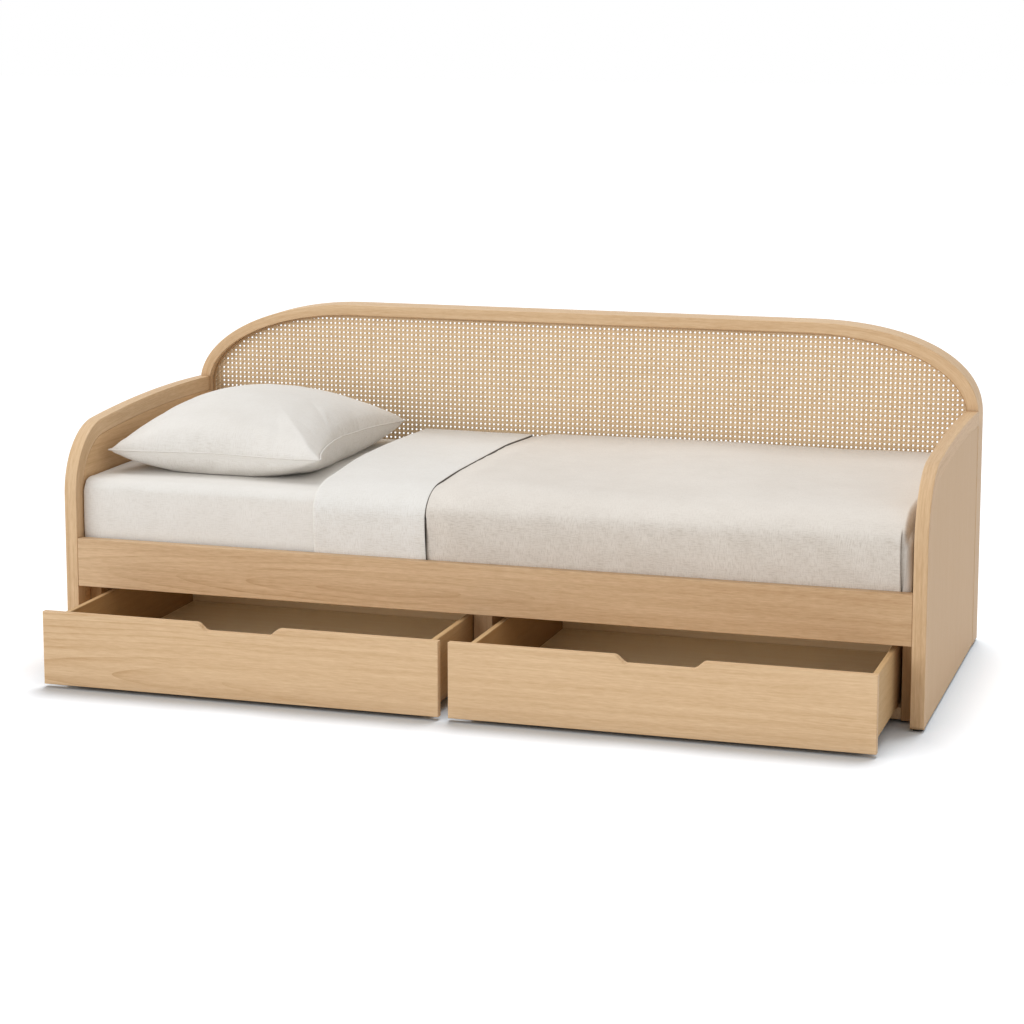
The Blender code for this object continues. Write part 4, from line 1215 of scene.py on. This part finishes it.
def paint_nodes():
    """Materials for the part's own nodes."""
    for name, obj in NODES.items():
        names = (name, name.replace("_1_", "_").replace("_2_", "_"))
        order, kind, seed = next(row[1:] for row in BOARDS if any(n.startswith(row[0]) for n in names))
        label = f"{kind}_{order.lower()}_{int(seed)}"
        if name.startswith("glide_"):
            label = "glide_black"
        elif label not in MATERIALS:
            MATERIALS[label] = board_wood(label, name, obj, order, kind, seed)
        obj.data.materials.clear()
        obj.data.materials.append(MATERIALS[label])
        if name in CUTS:
            ease_edges(obj)


def add_floor():
    s = Surface("studio_floor")
    # Painted contact shadow: near the object the floor the camera sees is darkened by ambient occlusion
    around = s.node("ShaderNodeAmbientOcclusion", {"Distance": FLOOR_PAINTED_SHADOW_REACH}, samples=8)
    shown = s.blend(s.spread(around.outputs["AO"], 0.45, 1.0), FLOOR_PAINTED_SHADOW, FLOOR_SEEN)
    mesh = bpy.data.meshes.new("studio_floor")
    mesh.from_pydata([(x * FLOOR_HALF, y * FLOOR_HALF, 0) for x, y in ((-1, -1), (1, -1), (1, 1), (-1, 1))],
                     [], [(0, 1, 2, 3)])
    mesh.materials.append(s.finish(s.blend(s.seen(), FLOOR_BOUNCE, shown), 1.0, Specular_IOR_Level=0.0))
    floor = placed("studio_floor", mesh)
    floor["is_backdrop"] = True
    return floor


def add_sun(name, source, level, spread, floor):
    """A wide, even lamp: the key for the floor alone, the others for all else, and the right one not for the
    drawers' sides. A white face that looks straight at it takes this level from it."""
    lamp = bpy.data.lights.new(name, "SUN")
    lamp.energy = level * math.pi
    lamp.angle = math.radians(spread)
    obj = placed(name, lamp)
    obj.rotation_euler = Vector(source).to_track_quat("Z", "Y").to_euler()
    takers = bpy.data.collections.new(name + "_takers")
    takers.objects.link(floor)
    for node in NODES:
        if name == "right" and node.startswith(("drawer_1_side", "drawer_2_side")):
            takers.objects.link(NODES[node])
    obj.light_linking.receiver_collection = takers
    for taker in takers.collection_objects:
        taker.light_linking.link_state = "INCLUDE" if name == "floor_key" else "EXCLUDE"


def add_light(floor):
    world = bpy.data.worlds.new("studio")
    bpy.context.scene.world = world
    world.use_nodes = True
    s = Tree(world.node_tree)
    back = s.tree.nodes["Background"]
    s.feed(back.inputs["Color"], (1.0, 1.0, 1.0, 1.0))
    s.feed(back.inputs["Strength"], s.spread(s.seen(), 0.0, 1.0, WORLD_LEVEL, 1.0))
    for name, source, level, spread in SUNS:
        add_sun(name, source, level, spread, floor)


def add_camera():
    camera = bpy.data.cameras.new("view")
    camera.lens = CAMERA_LENS
    camera.sensor_width = 36.0
    camera.shift_y = CAMERA_SHIFT
    obj = placed("view", camera)
    obj.location = CAMERA_PLACE
    obj.rotation_euler = (math.pi / 2 - CAMERA_DOWN, 0.0, CAMERA_TURN)
    bpy.context.scene.camera = obj


paint_nodes()
add_arms()
add_arch()
add_spline()
add_cane()
add_mattress()
add_sheet_fold()
add_coverlet()
add_pillow()
add_light(add_floor())
add_camera()

scene = bpy.context.scene
scene.view_settings.view_transform = "Standard"
bpy.context.view_layer.update()
boxes = {"cad": CAD_BOX, "visual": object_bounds()}
{key: [list(corner) for corner in value] for key, value in boxes.items()}
